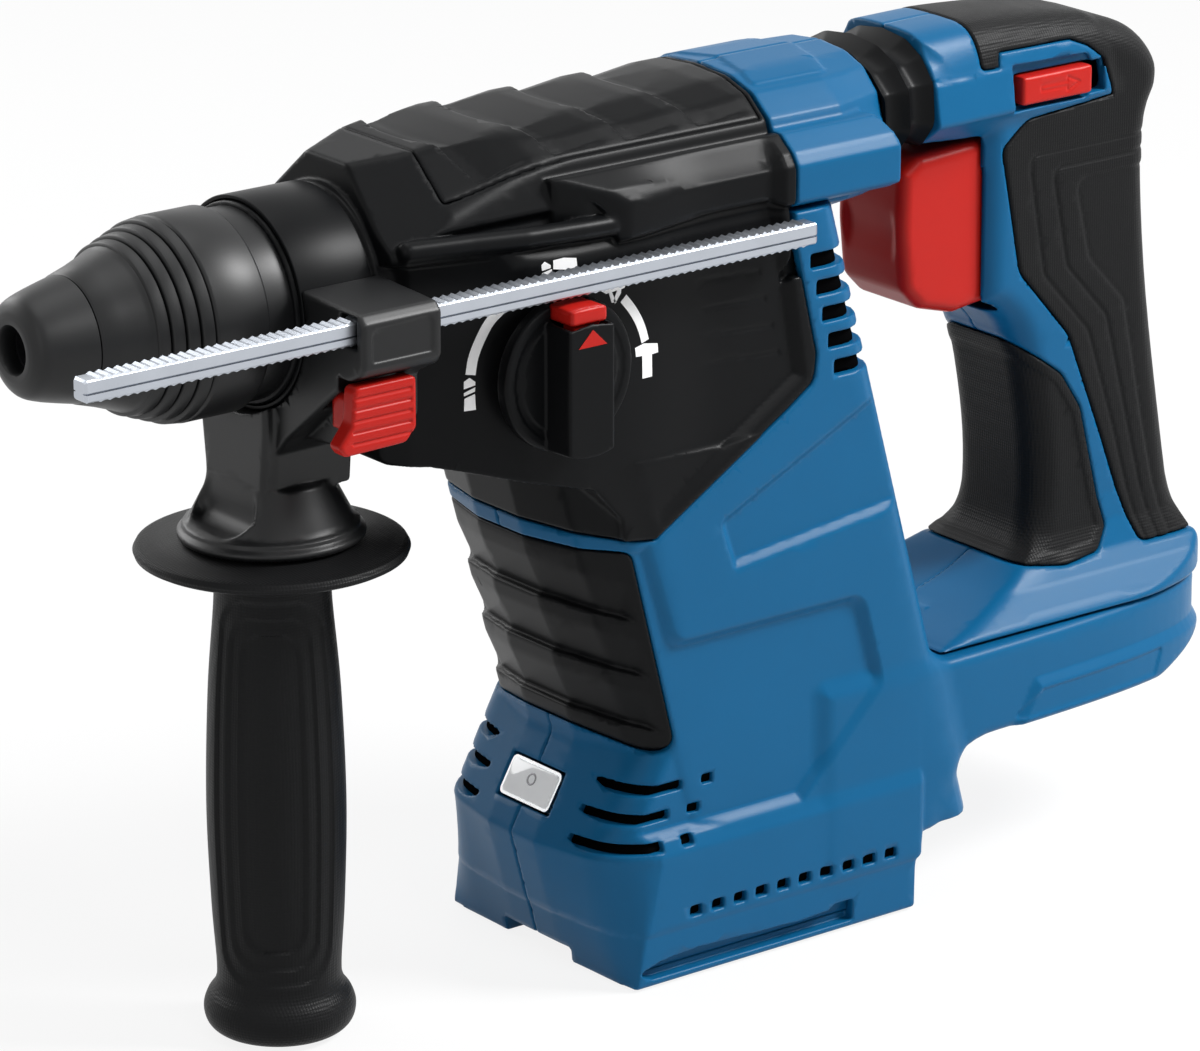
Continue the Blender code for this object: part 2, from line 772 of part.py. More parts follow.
def build_gears():
    shaft_axis = (0.0, 0.0, SHAFT_Z)
    tip_r = SPINDLE_R + GAP
    wheel = slab(
        gear_outline(SPINDLE_TEETH, MODULE),
        "yz",
        GEAR_X,
        GEAR_X + GEAR_WIDTH,
        holes=[arc((0.0, 0.0), tip_r, 360, 0, 20)[:-1]],
    )
    turn_to_mesh = math.pi / SPINDLE_TEETH
    wheel.data.transform(Matrix.Rotation(-math.pi / 2 + turn_to_mesh, 4, "X"))
    part(wheel, "spindle_gear", DARK_STEEL)

    bevel_angle = math.radians(90 - MOTOR_LEAN_DEG) - motor_cone_angle()
    bevel_back = MOTOR_CROSS_X + BEVEL_R / math.tan(bevel_angle)
    core = turned(
        [
            (SHAFT_FRONT_X, 0.0),
            (SHAFT_FRONT_X, SHAFT_R),
            (WOBBLE_X - 0.0065, SHAFT_R),
            (WOBBLE_X - 0.0065, math.sqrt(WOBBLE_R**2 - 0.0065**2)),
            (WOBBLE_X - 0.003, math.sqrt(WOBBLE_R**2 - 0.003**2)),
            (WOBBLE_X, WOBBLE_R),
            (WOBBLE_X + 0.003, math.sqrt(WOBBLE_R**2 - 0.003**2)),
            (WOBBLE_X + 0.0065, math.sqrt(WOBBLE_R**2 - 0.0065**2)),
            (WOBBLE_X + 0.0065, SHAFT_R),
            (SHAFT_END_X, SHAFT_R),
            (SHAFT_END_X, 0.0),
        ],
        centre=shaft_axis,
    )
    pinion = slab(gear_outline(PINION_TEETH, MODULE), "yz", GEAR_X - 0.0005, GEAR_X + GEAR_WIDTH + 0.0005)
    pinion.data.transform(Matrix.Translation(shaft_axis) @ Matrix.Rotation(math.pi / 2, 4, "X"))
    join(core, pinion)
    part(core, "intermediate_shaft", DARK_STEEL)

    bevel_module = 2 * (BEVEL_R - GAP) / BEVEL_TEETH
    shrink = 1 - BEVEL_FACE / (bevel_back - MOTOR_CROSS_X)
    bevel = slab(
        gear_outline(BEVEL_TEETH, bevel_module, addendum=0.0),
        "yz",
        bevel_back - BEVEL_FACE,
        bevel_back,
        holes=[arc((0.0, 0.0), SHAFT_R + GAP, 360, 0, 20)[:-1]],
    )
    bevel = cone_gear(bevel, 0, bevel_back - BEVEL_FACE, bevel_back, shrink, SHAFT_R + 2 * GAP)
    bevel.data.transform(Matrix.Translation(shaft_axis))
    part(bevel, "bevel_gear", DARK_STEEL)

    for start, name in (
        (SHAFT_FRONT_X, "shaft_front_bearing"),
        (SHAFT_END_X - SHAFT_BEARING_LENGTH, "shaft_rear_bearing"),
    ):
        ring = ring_profile(start, start + SHAFT_BEARING_LENGTH, SHAFT_R + GAP, SHAFT_BEARING_R)
        part(turned(ring, centre=shaft_axis, steps=20), name, STEEL)


def motor_cone_angle():
    """Half angle of the motor pinion's cone: the two cones share the angle between the axes."""
    between = math.radians(90 - MOTOR_LEAN_DEG)
    ratio = BEVEL_TEETH / MOTOR_TEETH
    return math.atan2(math.sin(between), ratio + math.cos(between))


def cone_gear(obj, axis_index, low, high, shrink, bore_r):
    """Draws the low end of a toothed wheel in towards the axis, leaving its bore straight."""
    for vertex in obj.data.vertices:
        across = [vertex.co[other] for other in range(3) if other != axis_index]
        if math.hypot(*across) > bore_r:
            share = (high - vertex.co[axis_index]) / (high - low)
            scale = 1 + (shrink - 1) * share
            for other in range(3):
                if other != axis_index:
                    vertex.co[other] *= scale
    return obj


def build_motor():
    cone = motor_cone_angle()
    slant = BEVEL_R / math.sin(math.radians(90 - MOTOR_LEAN_DEG) - cone)
    big_r = slant * math.sin(cone) - 2 * GAP
    high = slant * math.cos(cone)
    low = high - 0.007
    pinion = slab(gear_outline(MOTOR_TEETH, 2 * big_r / MOTOR_TEETH, addendum=0.0), "xy", low, high)
    cone_gear(pinion, 2, low, high, low / high, 0.0)
    shaft_end = BEARING_LOW_S + MOTOR_BEARING_LENGTH
    stack = (STATOR_S + 0.002, STATOR_S + STATOR_LENGTH - 0.002)
    rotor = motor_turned(
        [
            (high - 0.002, 0.0),
            (high - 0.002, big_r * 0.62),
            (high + 0.002, MOTOR_SHAFT_R * 0.8),
            (BEARING_TOP_S - 0.001, MOTOR_SHAFT_R),
            (stack[0], MOTOR_SHAFT_R),
            (stack[0], ROTOR_R),
            (stack[1], ROTOR_R),
            (stack[1], MOTOR_SHAFT_R),
            (shaft_end, MOTOR_SHAFT_R),
            (shaft_end, 0.0),
        ]
    )
    join(rotor, on_motor_axis(pinion))
    part(rotor, "rotor", DARK_STEEL)

    fan = motor_turned(
        [
            (FAN_S, MOTOR_SHAFT_R + GAP),
            (FAN_S, 0.008),
            (FAN_S + FAN_LENGTH - 0.0015, 0.010),
            (FAN_S + FAN_LENGTH - 0.0015, FAN_R),
            (FAN_S + FAN_LENGTH, FAN_R),
            (FAN_S + FAN_LENGTH, MOTOR_SHAFT_R + GAP),
        ]
    )
    for index in range(FAN_BLADES):
        blade = box((0.0125, -0.0006, FAN_S + 0.001), (FAN_R - 0.0005, 0.0006, FAN_S + FAN_LENGTH - 0.001))
        blade.data.transform(Matrix.Rotation(2 * math.pi * index / FAN_BLADES, 4, "Z"))
        join(fan, on_motor_axis(blade))
    part(fan, "fan", BLACK)

    stator = motor_turned(
        ring_profile(STATOR_S, STATOR_S + STATOR_LENGTH, ROTOR_R + AIR_GAP, STATOR_R), steps=20
    )
    part(stator, "stator", COPPER)
    for start, name in ((BEARING_TOP_S, "motor_top_bearing"), (BEARING_LOW_S, "motor_lower_bearing")):
        ring = ring_profile(start, start + MOTOR_BEARING_LENGTH, MOTOR_SHAFT_R + GAP, MOTOR_BEARING_R)
        part(motor_turned(ring), name, STEEL)


def motor_room():
    """The room for the motor: seats for its bearings, fan chamber and stator bore."""
    seat = MOTOR_BEARING_R + GAP
    return motor_turned(
        [
            (0.010, 0.0),
            (0.010, seat),
            (FAN_S - LOOSE, seat),
            (FAN_S - LOOSE, FAN_R + LOOSE),
            (STATOR_S - GAP, FAN_R + LOOSE),
            (STATOR_S - GAP, STATOR_R + GAP),
            (STATOR_S + STATOR_LENGTH + LOOSE, STATOR_R + GAP),
            (STATOR_S + STATOR_LENGTH + LOOSE, seat),
            (BEARING_LOW_S + MOTOR_BEARING_LENGTH + 0.030, seat),
            (BEARING_LOW_S + MOTOR_BEARING_LENGTH + 0.030, 0.0),
        ],
        20,
    )


# Upper casing section, from the crown down its right side
CROWN_Z = 0.0358
SHOULDER = [(0.0, CROWN_Z), (0.012, 0.0348), (0.020, 0.0322), (0.0262, 0.0268)]
LEDGE_SECTION = [
    (0.0, 0.024),
    (0.0305, 0.0238),
    (0.0355, 0.0198),
    (LEDGE_HALF_WIDTH, 0.0172),
    (LEDGE_HALF_WIDTH, 0.0095),
    (0.0345, 0.0072),
]

# Line between the gear housing and the motor casing, from the front to the rear, as x and z
BORDER = [(0.100, -0.0600), (0.1290, -0.0640), (0.1512, -0.0667), (0.1905, -0.0425)]
BORDER += [(0.1985, -0.0365), (0.1995, -0.0300), (0.1922, 0.0005)]


def border_below():
    """Side outline of everything under and behind the border line."""
    return BORDER + [(0.1917, 0.060), (0.40, 0.060), (0.40, -0.25), (0.100, -0.25)]


def build_gear_housing():
    side = [
        (GEAR_FRONT_X - 0.002, 0.0262),
        (GEAR_FRONT_X + 0.005, 0.0305),
        (COVER_FRONT_X, 0.0332),
        (0.150, 0.0347),
        (GEAR_END_X, CROWN_Z),
        (GEAR_END_X, -0.010),
        (0.210, -0.010),
        (0.210, -0.075),
        (0.115, -0.075),
    ]
    side += [(0.1225, -0.0620), (0.1140, -0.0530), (0.1030, -0.0455), (0.0930, -0.0415)]
    side += [(GEAR_FRONT_X, -0.0385)]
    housing = slab(side, "xz", -CLEAR_OF, CLEAR_OF)
    plan = blunt_plan(GEAR_FRONT_X - 0.002, 0.048, 0.215, 0.001, HALF_WIDTH, square=3.2)
    keep(housing, slab(plan, "xy", -0.10, 0.05))
    section = mirrored(
        SHOULDER
        + [(UPPER_HALF_WIDTH - 0.0005, 0.0200), (UPPER_HALF_WIDTH, 0.0060)]
        + [(HALF_WIDTH - 0.0020, 0.0005), (HALF_WIDTH, -0.0060), (HALF_WIDTH, -0.040), (0.0345, -0.09)]
    )
    keep(housing, slab(section, "yz", 0.05, 0.25))
    join(housing, column(0.0, -0.080, -0.045))
    cut(housing, slab(inset(border_below(), -GAP), "xz", -CLEAR_OF, CLEAR_OF))
    ledge = slab(mirrored(LEDGE_SECTION), "yz", LEDGE_FRONT_X, GEAR_END_X)
    nose_cut = [(LEDGE_FRONT_X - 0.001, 0.0), (LEDGE_FRONT_X - 0.001, 0.03), (LEDGE_FRONT_X + 0.010, 0.03)]
    cut(ledge, slab(nose_cut, "xz", -CLEAR_OF, CLEAR_OF))
    join(housing, ledge)
    neck = cylinder(NECK_R, NECK_X, NECK_END_X, "x", sides=OUTER_STEPS)
    join(housing, neck)

    cut(housing, cylinder(SPINDLE_R + 0.0030, NECK_X - 0.01, 0.10, "x", sides=20))
    collar_r = SLEEVE_R - SLEEVE_WALL - RUN
    cut(housing, cylinder(collar_r + GAP, NECK_X - 0.01, NECK_X + 0.004 + GAP, "x", sides=OUTER_STEPS))
    cut(housing, cylinder(BEARING_R + GAP, BEARING_X - GAP, 0.11, "x", sides=20))
    rear_seat_x = SHAFT_END_X - SHAFT_BEARING_LENGTH
    flange_room = (BEARING_X + BEARING_LENGTH + GAP, GEAR_ROOM_END_X - 0.010)
    cut(housing, cylinder(FLANGE_R + GAP, *flange_room, "x", sides=20))
    gear_room = [(SHAFT_FRONT_X + SHAFT_BEARING_LENGTH, 0.0), (SHAFT_FRONT_X + SHAFT_BEARING_LENGTH, -0.0385)]
    gear_room += [(0.124, -0.0475), (0.164, -0.0495), (GEAR_ROOM_END_X, -0.0475), (GEAR_ROOM_END_X, 0.0)]
    cut(housing, slab(gear_room, "xz", -GEAR_ROOM_HALF_WIDTH, GEAR_ROOM_HALF_WIDTH))
    shaft_axis = (0.0, 0.0, SHAFT_Z)
    seat_r = SHAFT_BEARING_R + GAP
    cut(housing, cylinder(seat_r, SHAFT_FRONT_X - GAP, SHAFT_FRONT_X + 0.010, "x", shaft_axis, 20))
    cut(housing, cylinder(seat_r, rear_seat_x - 0.005, SHAFT_END_X + GAP, "x", shaft_axis, 20))
    cut(housing, motor_room())
    cut(housing, cylinder(KNOB_STEM_R + RUN, -CLEAR_OF, 0.0, "y", (KNOB_X, 0, KNOB_Z), 20))
    cut(housing, arch_plate(-COVER_THICKNESS - GAP, 0.01, COVER_FRONT_X - GAP, COVER_END_X + GAP, GAP))
    part(housing, "gear_housing", BLACK)

    cover = arch_plate(-COVER_THICKNESS, 0.0, COVER_FRONT_X, COVER_END_X)
    rib_pitch = (COVER_END_X - COVER_FRONT_X) / (COVER_RIBS + 0.5)
    for index in range(COVER_RIBS):
        start = COVER_FRONT_X + rib_pitch * (index + 0.75)
        cut(cover, arch_plate(-RIB_DEPTH, 0.005, start, start + RIB_GROOVE, 0.001))
    part(cover, "gear_cover_top", BLACK)


def arch(rise, wider=0.0):
    """The crown's line from its right side to its left side, raised and widened a little."""
    half = [(y + wider * y / SHOULDER[-1][0], z + rise) for y, z in SHOULDER]
    return half[::-1] + [(-y, z) for y, z in half[1:]]


def arch_plate(low, high, front, end, wider=0.0):
    """An arched plate along the crown, between two levels above the crown's surface."""
    return slab(arch(high, wider) + arch(low, wider)[::-1], "yz", front, end)


def column(inward, low, high):
    """The leaning motor column between two levels, its faces moved inwards by a little."""
    plan = blunt_plan(
        COLUMN_FRONT_X + inward,
        COLUMN_NOSE,
        COLUMN_REAR_X - inward,
        COLUMN_TAIL,
        HALF_WIDTH - inward,
    )
    return lean(slab(plan, "xy", low, high), COLUMN_LEAN, COLUMN_FRONT_Z)


def skirt():
    """The battery skirt: its side outline kept within a blunt plan."""
    side = [
        (SKIRT_FRONT_X + SKIRT_FRONT_SLOPE, RIM_Z + SKIRT_TOP_RISE),
        (SKIRT_FRONT_X, RIM_Z + SKIRT_RIDGE_RISE),
        (SKIRT_FRONT_X + SKIRT_UNDERCUT - 0.0005, RIM_Z + SKIRT_FOOT_RISE),
        (SKIRT_FRONT_X + SKIRT_UNDERCUT, RIM_Z),
        (SKIRT_END_X + 0.01, RIM_Z),
        (SKIRT_END_X + 0.01, RIM_Z + SKIRT_TOP_RISE),
    ]
    plan = blunt_plan(SKIRT_FRONT_X - 0.0006, 0.024, SKIRT_END_X, 0.006, SKIRT_HALF_WIDTH + 0.001, square=2.8)
    section = [(HALF_WIDTH - 0.001, RIM_Z + SKIRT_TOP_RISE + 0.006)]
    section += [(SKIRT_HALF_WIDTH, RIM_Z + SKIRT_RIDGE_RISE + 0.001)]
    section += [(SKIRT_HALF_WIDTH - 0.0010, RIM_Z), (SKIRT_HALF_WIDTH - 0.0010, RIM_Z - 0.02)]
    block = slab(side, "xz", -CLEAR_OF, CLEAR_OF)
    keep(block, slab(plan, "xy", RIM_Z - 0.02, RIM_Z + SKIRT_TOP_RISE + 0.02))
    return keep(block, slab(mirrored(section), "yz", SKIRT_FRONT_X - 0.03, SKIRT_END_X + 0.03))


def foot_plan(inward=0.0):
    right = [(0.200, HALF_WIDTH), (0.245, HALF_WIDTH - 0.0005), (0.300, 0.0330), (0.322, 0.0300)]
    right += [(FOOT_END_X - 0.0125, 0.0240), (FOOT_END_X - 0.004, 0.0140), (FOOT_END_X, 0.0)]
    right = [(x, y - inward if y > 0 else y) for x, y in right]
    return right + [(x, -y) for x, y in reversed(right) if y > 0]


def foot():
    side = [(0.215, FOOT_TOP_Z), (FOOT_END_X, FOOT_TOP_Z), (FOOT_END_X, -0.1280)]
    side += [(0.336, -0.1375), (0.322, FOOT_BOTTOM_Z), (0.264, FOOT_BOTTOM_Z)]
    side += arc((FOOT_ARC_X, FOOT_BOTTOM_Z - FOOT_ARC_R), FOOT_ARC_R, 95, 165, 5) + [(0.215, -0.1580)]
    block = slab(side, "xz", -CLEAR_OF, CLEAR_OF)
    return keep(block, slab(foot_plan(), "xy", -0.20, -0.10))


def rear_cap():
    """The rear end of the upper casing, with the ledge running on along both sides."""
    section = mirrored(
        SHOULDER + [(UPPER_HALF_WIDTH - 0.0005, 0.0200), (UPPER_HALF_WIDTH, 0.0045)]
    )
    block = slab(section, "yz", GEAR_END_X + GAP, LEDGE_END_X)
    ledge = slab(mirrored(LEDGE_SECTION), "yz", GEAR_END_X + 2 * GAP, LEDGE_END_X - GAP)
    waist = [(y * 0.90, z + 0.0005 if z < 0.02 else z - 0.0003) for y, z in section]
    return join(block, ledge, slab(waist, "yz", LEDGE_END_X - 0.003, CAP_REAR_X))


def lens_box(length, width, back, front):
    """A block on the sloping front of the skirt, in from its face and out from it."""
    slope = math.atan2(SKIRT_FRONT_SLOPE, SKIRT_TOP_RISE - SKIRT_RIDGE_RISE)
    block = box((-front, -width / 2, -length / 2), (back, width / 2, length / 2))
    middle_z = RIM_Z + (SKIRT_TOP_RISE + SKIRT_RIDGE_RISE) / 2
    middle = Vector((SKIRT_FRONT_X + SKIRT_FRONT_SLOPE / 2, 0.0, middle_z))
    block.data.transform(Matrix.Translation(middle) @ Matrix.Rotation(slope, 4, "Y"))
    return block


def bumper_band(grown):
    """Side outline of the front bumper, given a little extra for its seat."""
    top = BUMPER_TOP_Z + grown
    end = BUMPER_END_Z - grown
    edge = BUMPER_EDGE_X + grown
    drop = (BUMPER_TOP_Z - BUMPER_END_Z) * COLUMN_LEAN
    return [(0.10, top), (edge, top), (edge + drop, end), (0.10, end)]


def build_casing():
    casing = column(0.0, -0.1350, 0.0060)
    keep(casing, slab(inset(border_below(), GAP), "xz", -CLEAR_OF, CLEAR_OF))
    join(casing, skirt(), foot(), rear_cap())

    bumper_seat = slab(bumper_band(GAP), "xz", -CLEAR_OF, CLEAR_OF)
    cut(bumper_seat, column(BUMPER_THICKNESS + GAP, -0.140, 0.0))
    cut(casing, bumper_seat)
    cut(casing, motor_room())
    well_front = SKIRT_FRONT_X + SKIRT_UNDERCUT + 0.006
    room_end = SKIRT_END_X - 0.0020
    room_half = WELL_HALF_WIDTH - RAIL_DEPTH
    cut(casing, box((well_front, -room_half, SEAT_Z - 0.002), (room_end, room_half, SEAT_Z + ROOM_HEIGHT)))
    cut(casing, box((well_front, -WELL_HALF_WIDTH, RIM_Z - 0.01), (0.27, WELL_HALF_WIDTH, SEAT_Z)))
    for side in (-1, 1):
        inner = side * room_half
        outer = side * (WELL_HALF_WIDTH + 0.002)
        low, high = sorted((inner, outer))
        rail_z = RIM_Z + RAIL_RISE
        rail_x = (well_front + 0.002, SKIRT_END_X - 0.002)
        join(casing, box((rail_x[0], low, rail_z), (rail_x[1], high, rail_z + RAIL_HEIGHT)))
    notch_top = RIM_Z + NOTCH_HEIGHT
    cut(casing, box((SKIRT_FRONT_X - 0.005, -0.013, RIM_Z - 0.01), (well_front + BITE, 0.001, notch_top)))
    cut(casing, lens_box(LENS_LENGTH + 2 * GAP, LENS_WIDTH + 2 * GAP, LENS_DEPTH + GAP, 0.01))
    slot_half = KNUCKLE_HALF_WIDTH + RUN
    slot_x = (PIVOT_X - 0.010, PIVOT_X + 0.010)
    slot_low = PIVOT_Z - KNUCKLE_R - 0.002
    cut(casing, box((slot_x[0], -slot_half, slot_low), (slot_x[1], slot_half, FOOT_TOP_Z + 0.02)))
    pin_room = PIN_HALF_LENGTH + 2 * GAP
    cut(casing, cylinder(PIVOT_R + GAP, -pin_room, pin_room, "y", PIVOT, 16))

    vent_pitch = (VENT_END_X - VENT_FRONT_X) / (SIDE_VENTS - 1)
    for index in range(SIDE_VENTS):
        x = VENT_FRONT_X + vent_pitch * index
        for side in (-1, 1):
            low, high = sorted((side * (room_half - BITE), side * CLEAR_OF))
            vent_low = SEAT_Z + 0.001
            half = VENT_WIDTH / 2
            cut(casing, box((x - half, low, vent_low), (x + half, high, vent_low + VENT_HEIGHT)))
    for index in range(REAR_SLOTS):
        z = REAR_SLOT_TOP_Z - index * REAR_SLOT_PITCH
        x = COLUMN_REAR_X + (COLUMN_FRONT_Z - z) * COLUMN_LEAN
        for side in (-1, 1):
            low, high = sorted((side * (HALF_WIDTH - 0.0105), side * CLEAR_OF))
            cut(casing, box((x - 0.0100, low, z - REAR_SLOT_HEIGHT), (x + 0.006, high, z)))

    for side, name in ((-1, "motor_casing_left"), (1, "motor_casing_right")):
        half = twin(casing)
        low, high = sorted((side * GAP / 2, side * CLEAR_OF))
        keep(half, box((0.05, low, RIM_Z - 0.05), (FOOT_END_X + 0.05, high, 0.08)))
        part(half, name, BLUE)
    helper(casing)

    bumper = column(0.0, -0.140, 0.0)
    keep(bumper, slab(bumper_band(0.0), "xz", -CLEAR_OF, CLEAR_OF))
    cut(bumper, column(BUMPER_THICKNESS, -0.145, 0.005))
    groove_pitch = (BUMPER_TOP_Z - BUMPER_END_Z) / (BUMPER_GROOVES + 1)
    for index in range(BUMPER_GROOVES):
        z = BUMPER_TOP_Z - groove_pitch * (index + 1)
        groove = box((0.10, -0.05, z - 0.0012), (0.165, 0.05, z + 0.0012))
        cut(groove, column(BUMPER_THICKNESS * 0.55, -0.145, 0.005))
        cut(bumper, groove)
    part(bumper, "front_bumper", RUBBER)

    lens = lens_box(LENS_LENGTH, LENS_WIDTH, LENS_DEPTH, LENS_PROUD)
    part(lens, "light_lens", CLEAR, smooth=False)

    seat_half = room_half - GAP
    seat_top = SEAT_Z + SEAT_THICKNESS
    seat = box((CONTACT_END_X + GAP, -seat_half, SEAT_Z), (room_end - GAP, seat_half, seat_top))
    part(seat, "battery_seat", BLACK, smooth=False)

    board_z = seat_top + GAP
    board_half = room_half - LOOSE
    board = box((0.1550, -board_half, board_z), (0.2220, board_half, board_z + BOARD_THICKNESS))
    for x, y in ((0.166, -0.017), (0.166, 0.017), (0.210, -0.016), (0.210, 0.016)):
        join(board, cylinder(CAPACITOR_R, board_z + 0.001, board_z + CAPACITOR_TOP, "z", (x, y, 0), 12))
    part(board, "control_board", BOARD)

    contact_low = SEAT_Z - CONTACT_DROP
    contacts = box((well_front + GAP, -seat_half, contact_low), (CONTACT_END_X, seat_half, seat_top))
    for index in range(CONTACT_BLADES):
        y = (index - (CONTACT_BLADES - 1) / 2) * BLADE_PITCH
        half = BLADE_THICKNESS / 2
        join(contacts, box((0.1580, y - half, SEAT_Z - BLADE_DROP), (0.1720, y + half, contact_low + BITE)))
    part(contacts, "battery_contacts", BLACK, smooth=False)

    pin = cylinder(PIVOT_R, -PIN_HALF_LENGTH, PIN_HALF_LENGTH, "y", PIVOT, 16)
    part(pin, "handle_pivot_pin", STEEL)


# Rear handle's side outline: from the top of its front end down its back, the toe, then up its front
HANDLE_BACK = [(HANDLE_FRONT_X, 0.0356), (0.268, 0.0361), (0.290, 0.0343), (0.308, 0.0318), (0.321, 0.0275)]
HANDLE_BACK += [(0.3290, 0.0195), (0.3298, 0.0130), (0.3250, 0.0020), (0.3287, -0.0350), (0.3350, -0.0760)]
HANDLE_BACK += [(0.3405, -0.1080), (FOOT_END_X - 0.0025, FOOT_TOP_Z + SADDLE_GAP)]
HANDLE_TOE = [(0.2440, FOOT_TOP_Z + SADDLE_GAP), (0.2620, -0.1130)]
HANDLE_FRONT = [(0.2750, -0.1090), (0.2845, -0.1035), (0.2885, -0.0960), (0.2880, -0.0750), (0.2825, -0.0490)]
HANDLE_FRONT += [(0.2760, -0.0400), (0.2700, -0.0370), (0.2690, 0.0060), (HANDLE_FRONT_X, 0.0088)]

# Cross-section of the arm at the handle's top, widest at the lower edge of its cheeks
ARM_SECTION = [(0.0, 0.0300), (0.0125, 0.0315), (0.0180, 0.0278), (0.0203, 0.0240), (ARM_HALF_WIDTH, 0.0140)]
ARM_SECTION += [(0.0185, 0.0112), (0.0140, 0.0096), (0.0, 0.0096)]

# Rubber on the handle: round the top and back, and on the front below the trigger
BACK_GRIP = [(0.2660, 0.0254), (0.2718, 0.0252), (0.2726, 0.0288), (0.2965, 0.0284), (0.3025, 0.0262)]
BACK_GRIP += [(0.3084, 0.0224), (0.3110, 0.0128), (0.2820, 0.0105), (0.2755, 0.0040)]
BACK_GRIP += [(0.2820, -0.0290), (0.2985, -0.0480), (0.3100, -0.0760), (0.3220, -0.1070), (0.37, -0.1070)]
BACK_GRIP += [(0.37, 0.06), (0.2660, 0.06)]
FRONT_GRIP = [(0.24, -0.0430), (0.2805, -0.0465), (0.2965, -0.0580), (0.3030, -0.0680), (0.3115, -0.1010)]
FRONT_GRIP += [(0.3080, -0.1060), (0.2960, -0.1075), (0.24, -0.0990)]


def handle_form():
    """The whole handle before its rubber and pockets are taken out."""
    section = [(0.0, 0.0375), (0.0080, 0.0358), (0.0140, 0.0305), (HANDLE_HALF_WIDTH, 0.0225)]
    section += [(HANDLE_HALF_WIDTH, -0.0970), (HANDLE_HALF_WIDTH + 0.0030, -0.1050)]
    section += [(HANDLE_HALF_WIDTH + 0.0090, -0.1115), (HALF_WIDTH - 0.003, FOOT_TOP_Z)]
    section += [(HALF_WIDTH - 0.003, FOOT_TOP_Z - 0.01)]
    form = slab(HANDLE_BACK + HANDLE_TOE + HANDLE_FRONT, "xz", -CLEAR_OF, CLEAR_OF)
    keep(form, slab(mirrored(section), "yz", 0.20, 0.40))
    around_foot = box((0.22, -CLEAR_OF, FOOT_TOP_Z - 0.02), (0.42, CLEAR_OF, FOOT_TOP_Z + SADDLE_HEIGHT))
    cut(around_foot, slab(foot_plan(0.0005), "xy", FOOT_TOP_Z - 0.03, FOOT_TOP_Z + SADDLE_HEIGHT + 0.01))
    cut(form, around_foot)
    arm = slab(mirrored(ARM_SECTION), "yz", HANDLE_FRONT_X + GAP, ARM_END_X)
    for vertex in arm.data.vertices:
        share = (vertex.co.x - HANDLE_FRONT_X) / (ARM_END_X - HANDLE_FRONT_X)
        vertex.co.y *= 1 - ARM_TAPER * share
    return join(form, arm)


def handle_core(inward):
    """The handle's body under the rubber."""
    half = HANDLE_HALF_WIDTH - inward
    return slab(inset(HANDLE_BACK + HANDLE_FRONT, inward), "xz", -half, half)


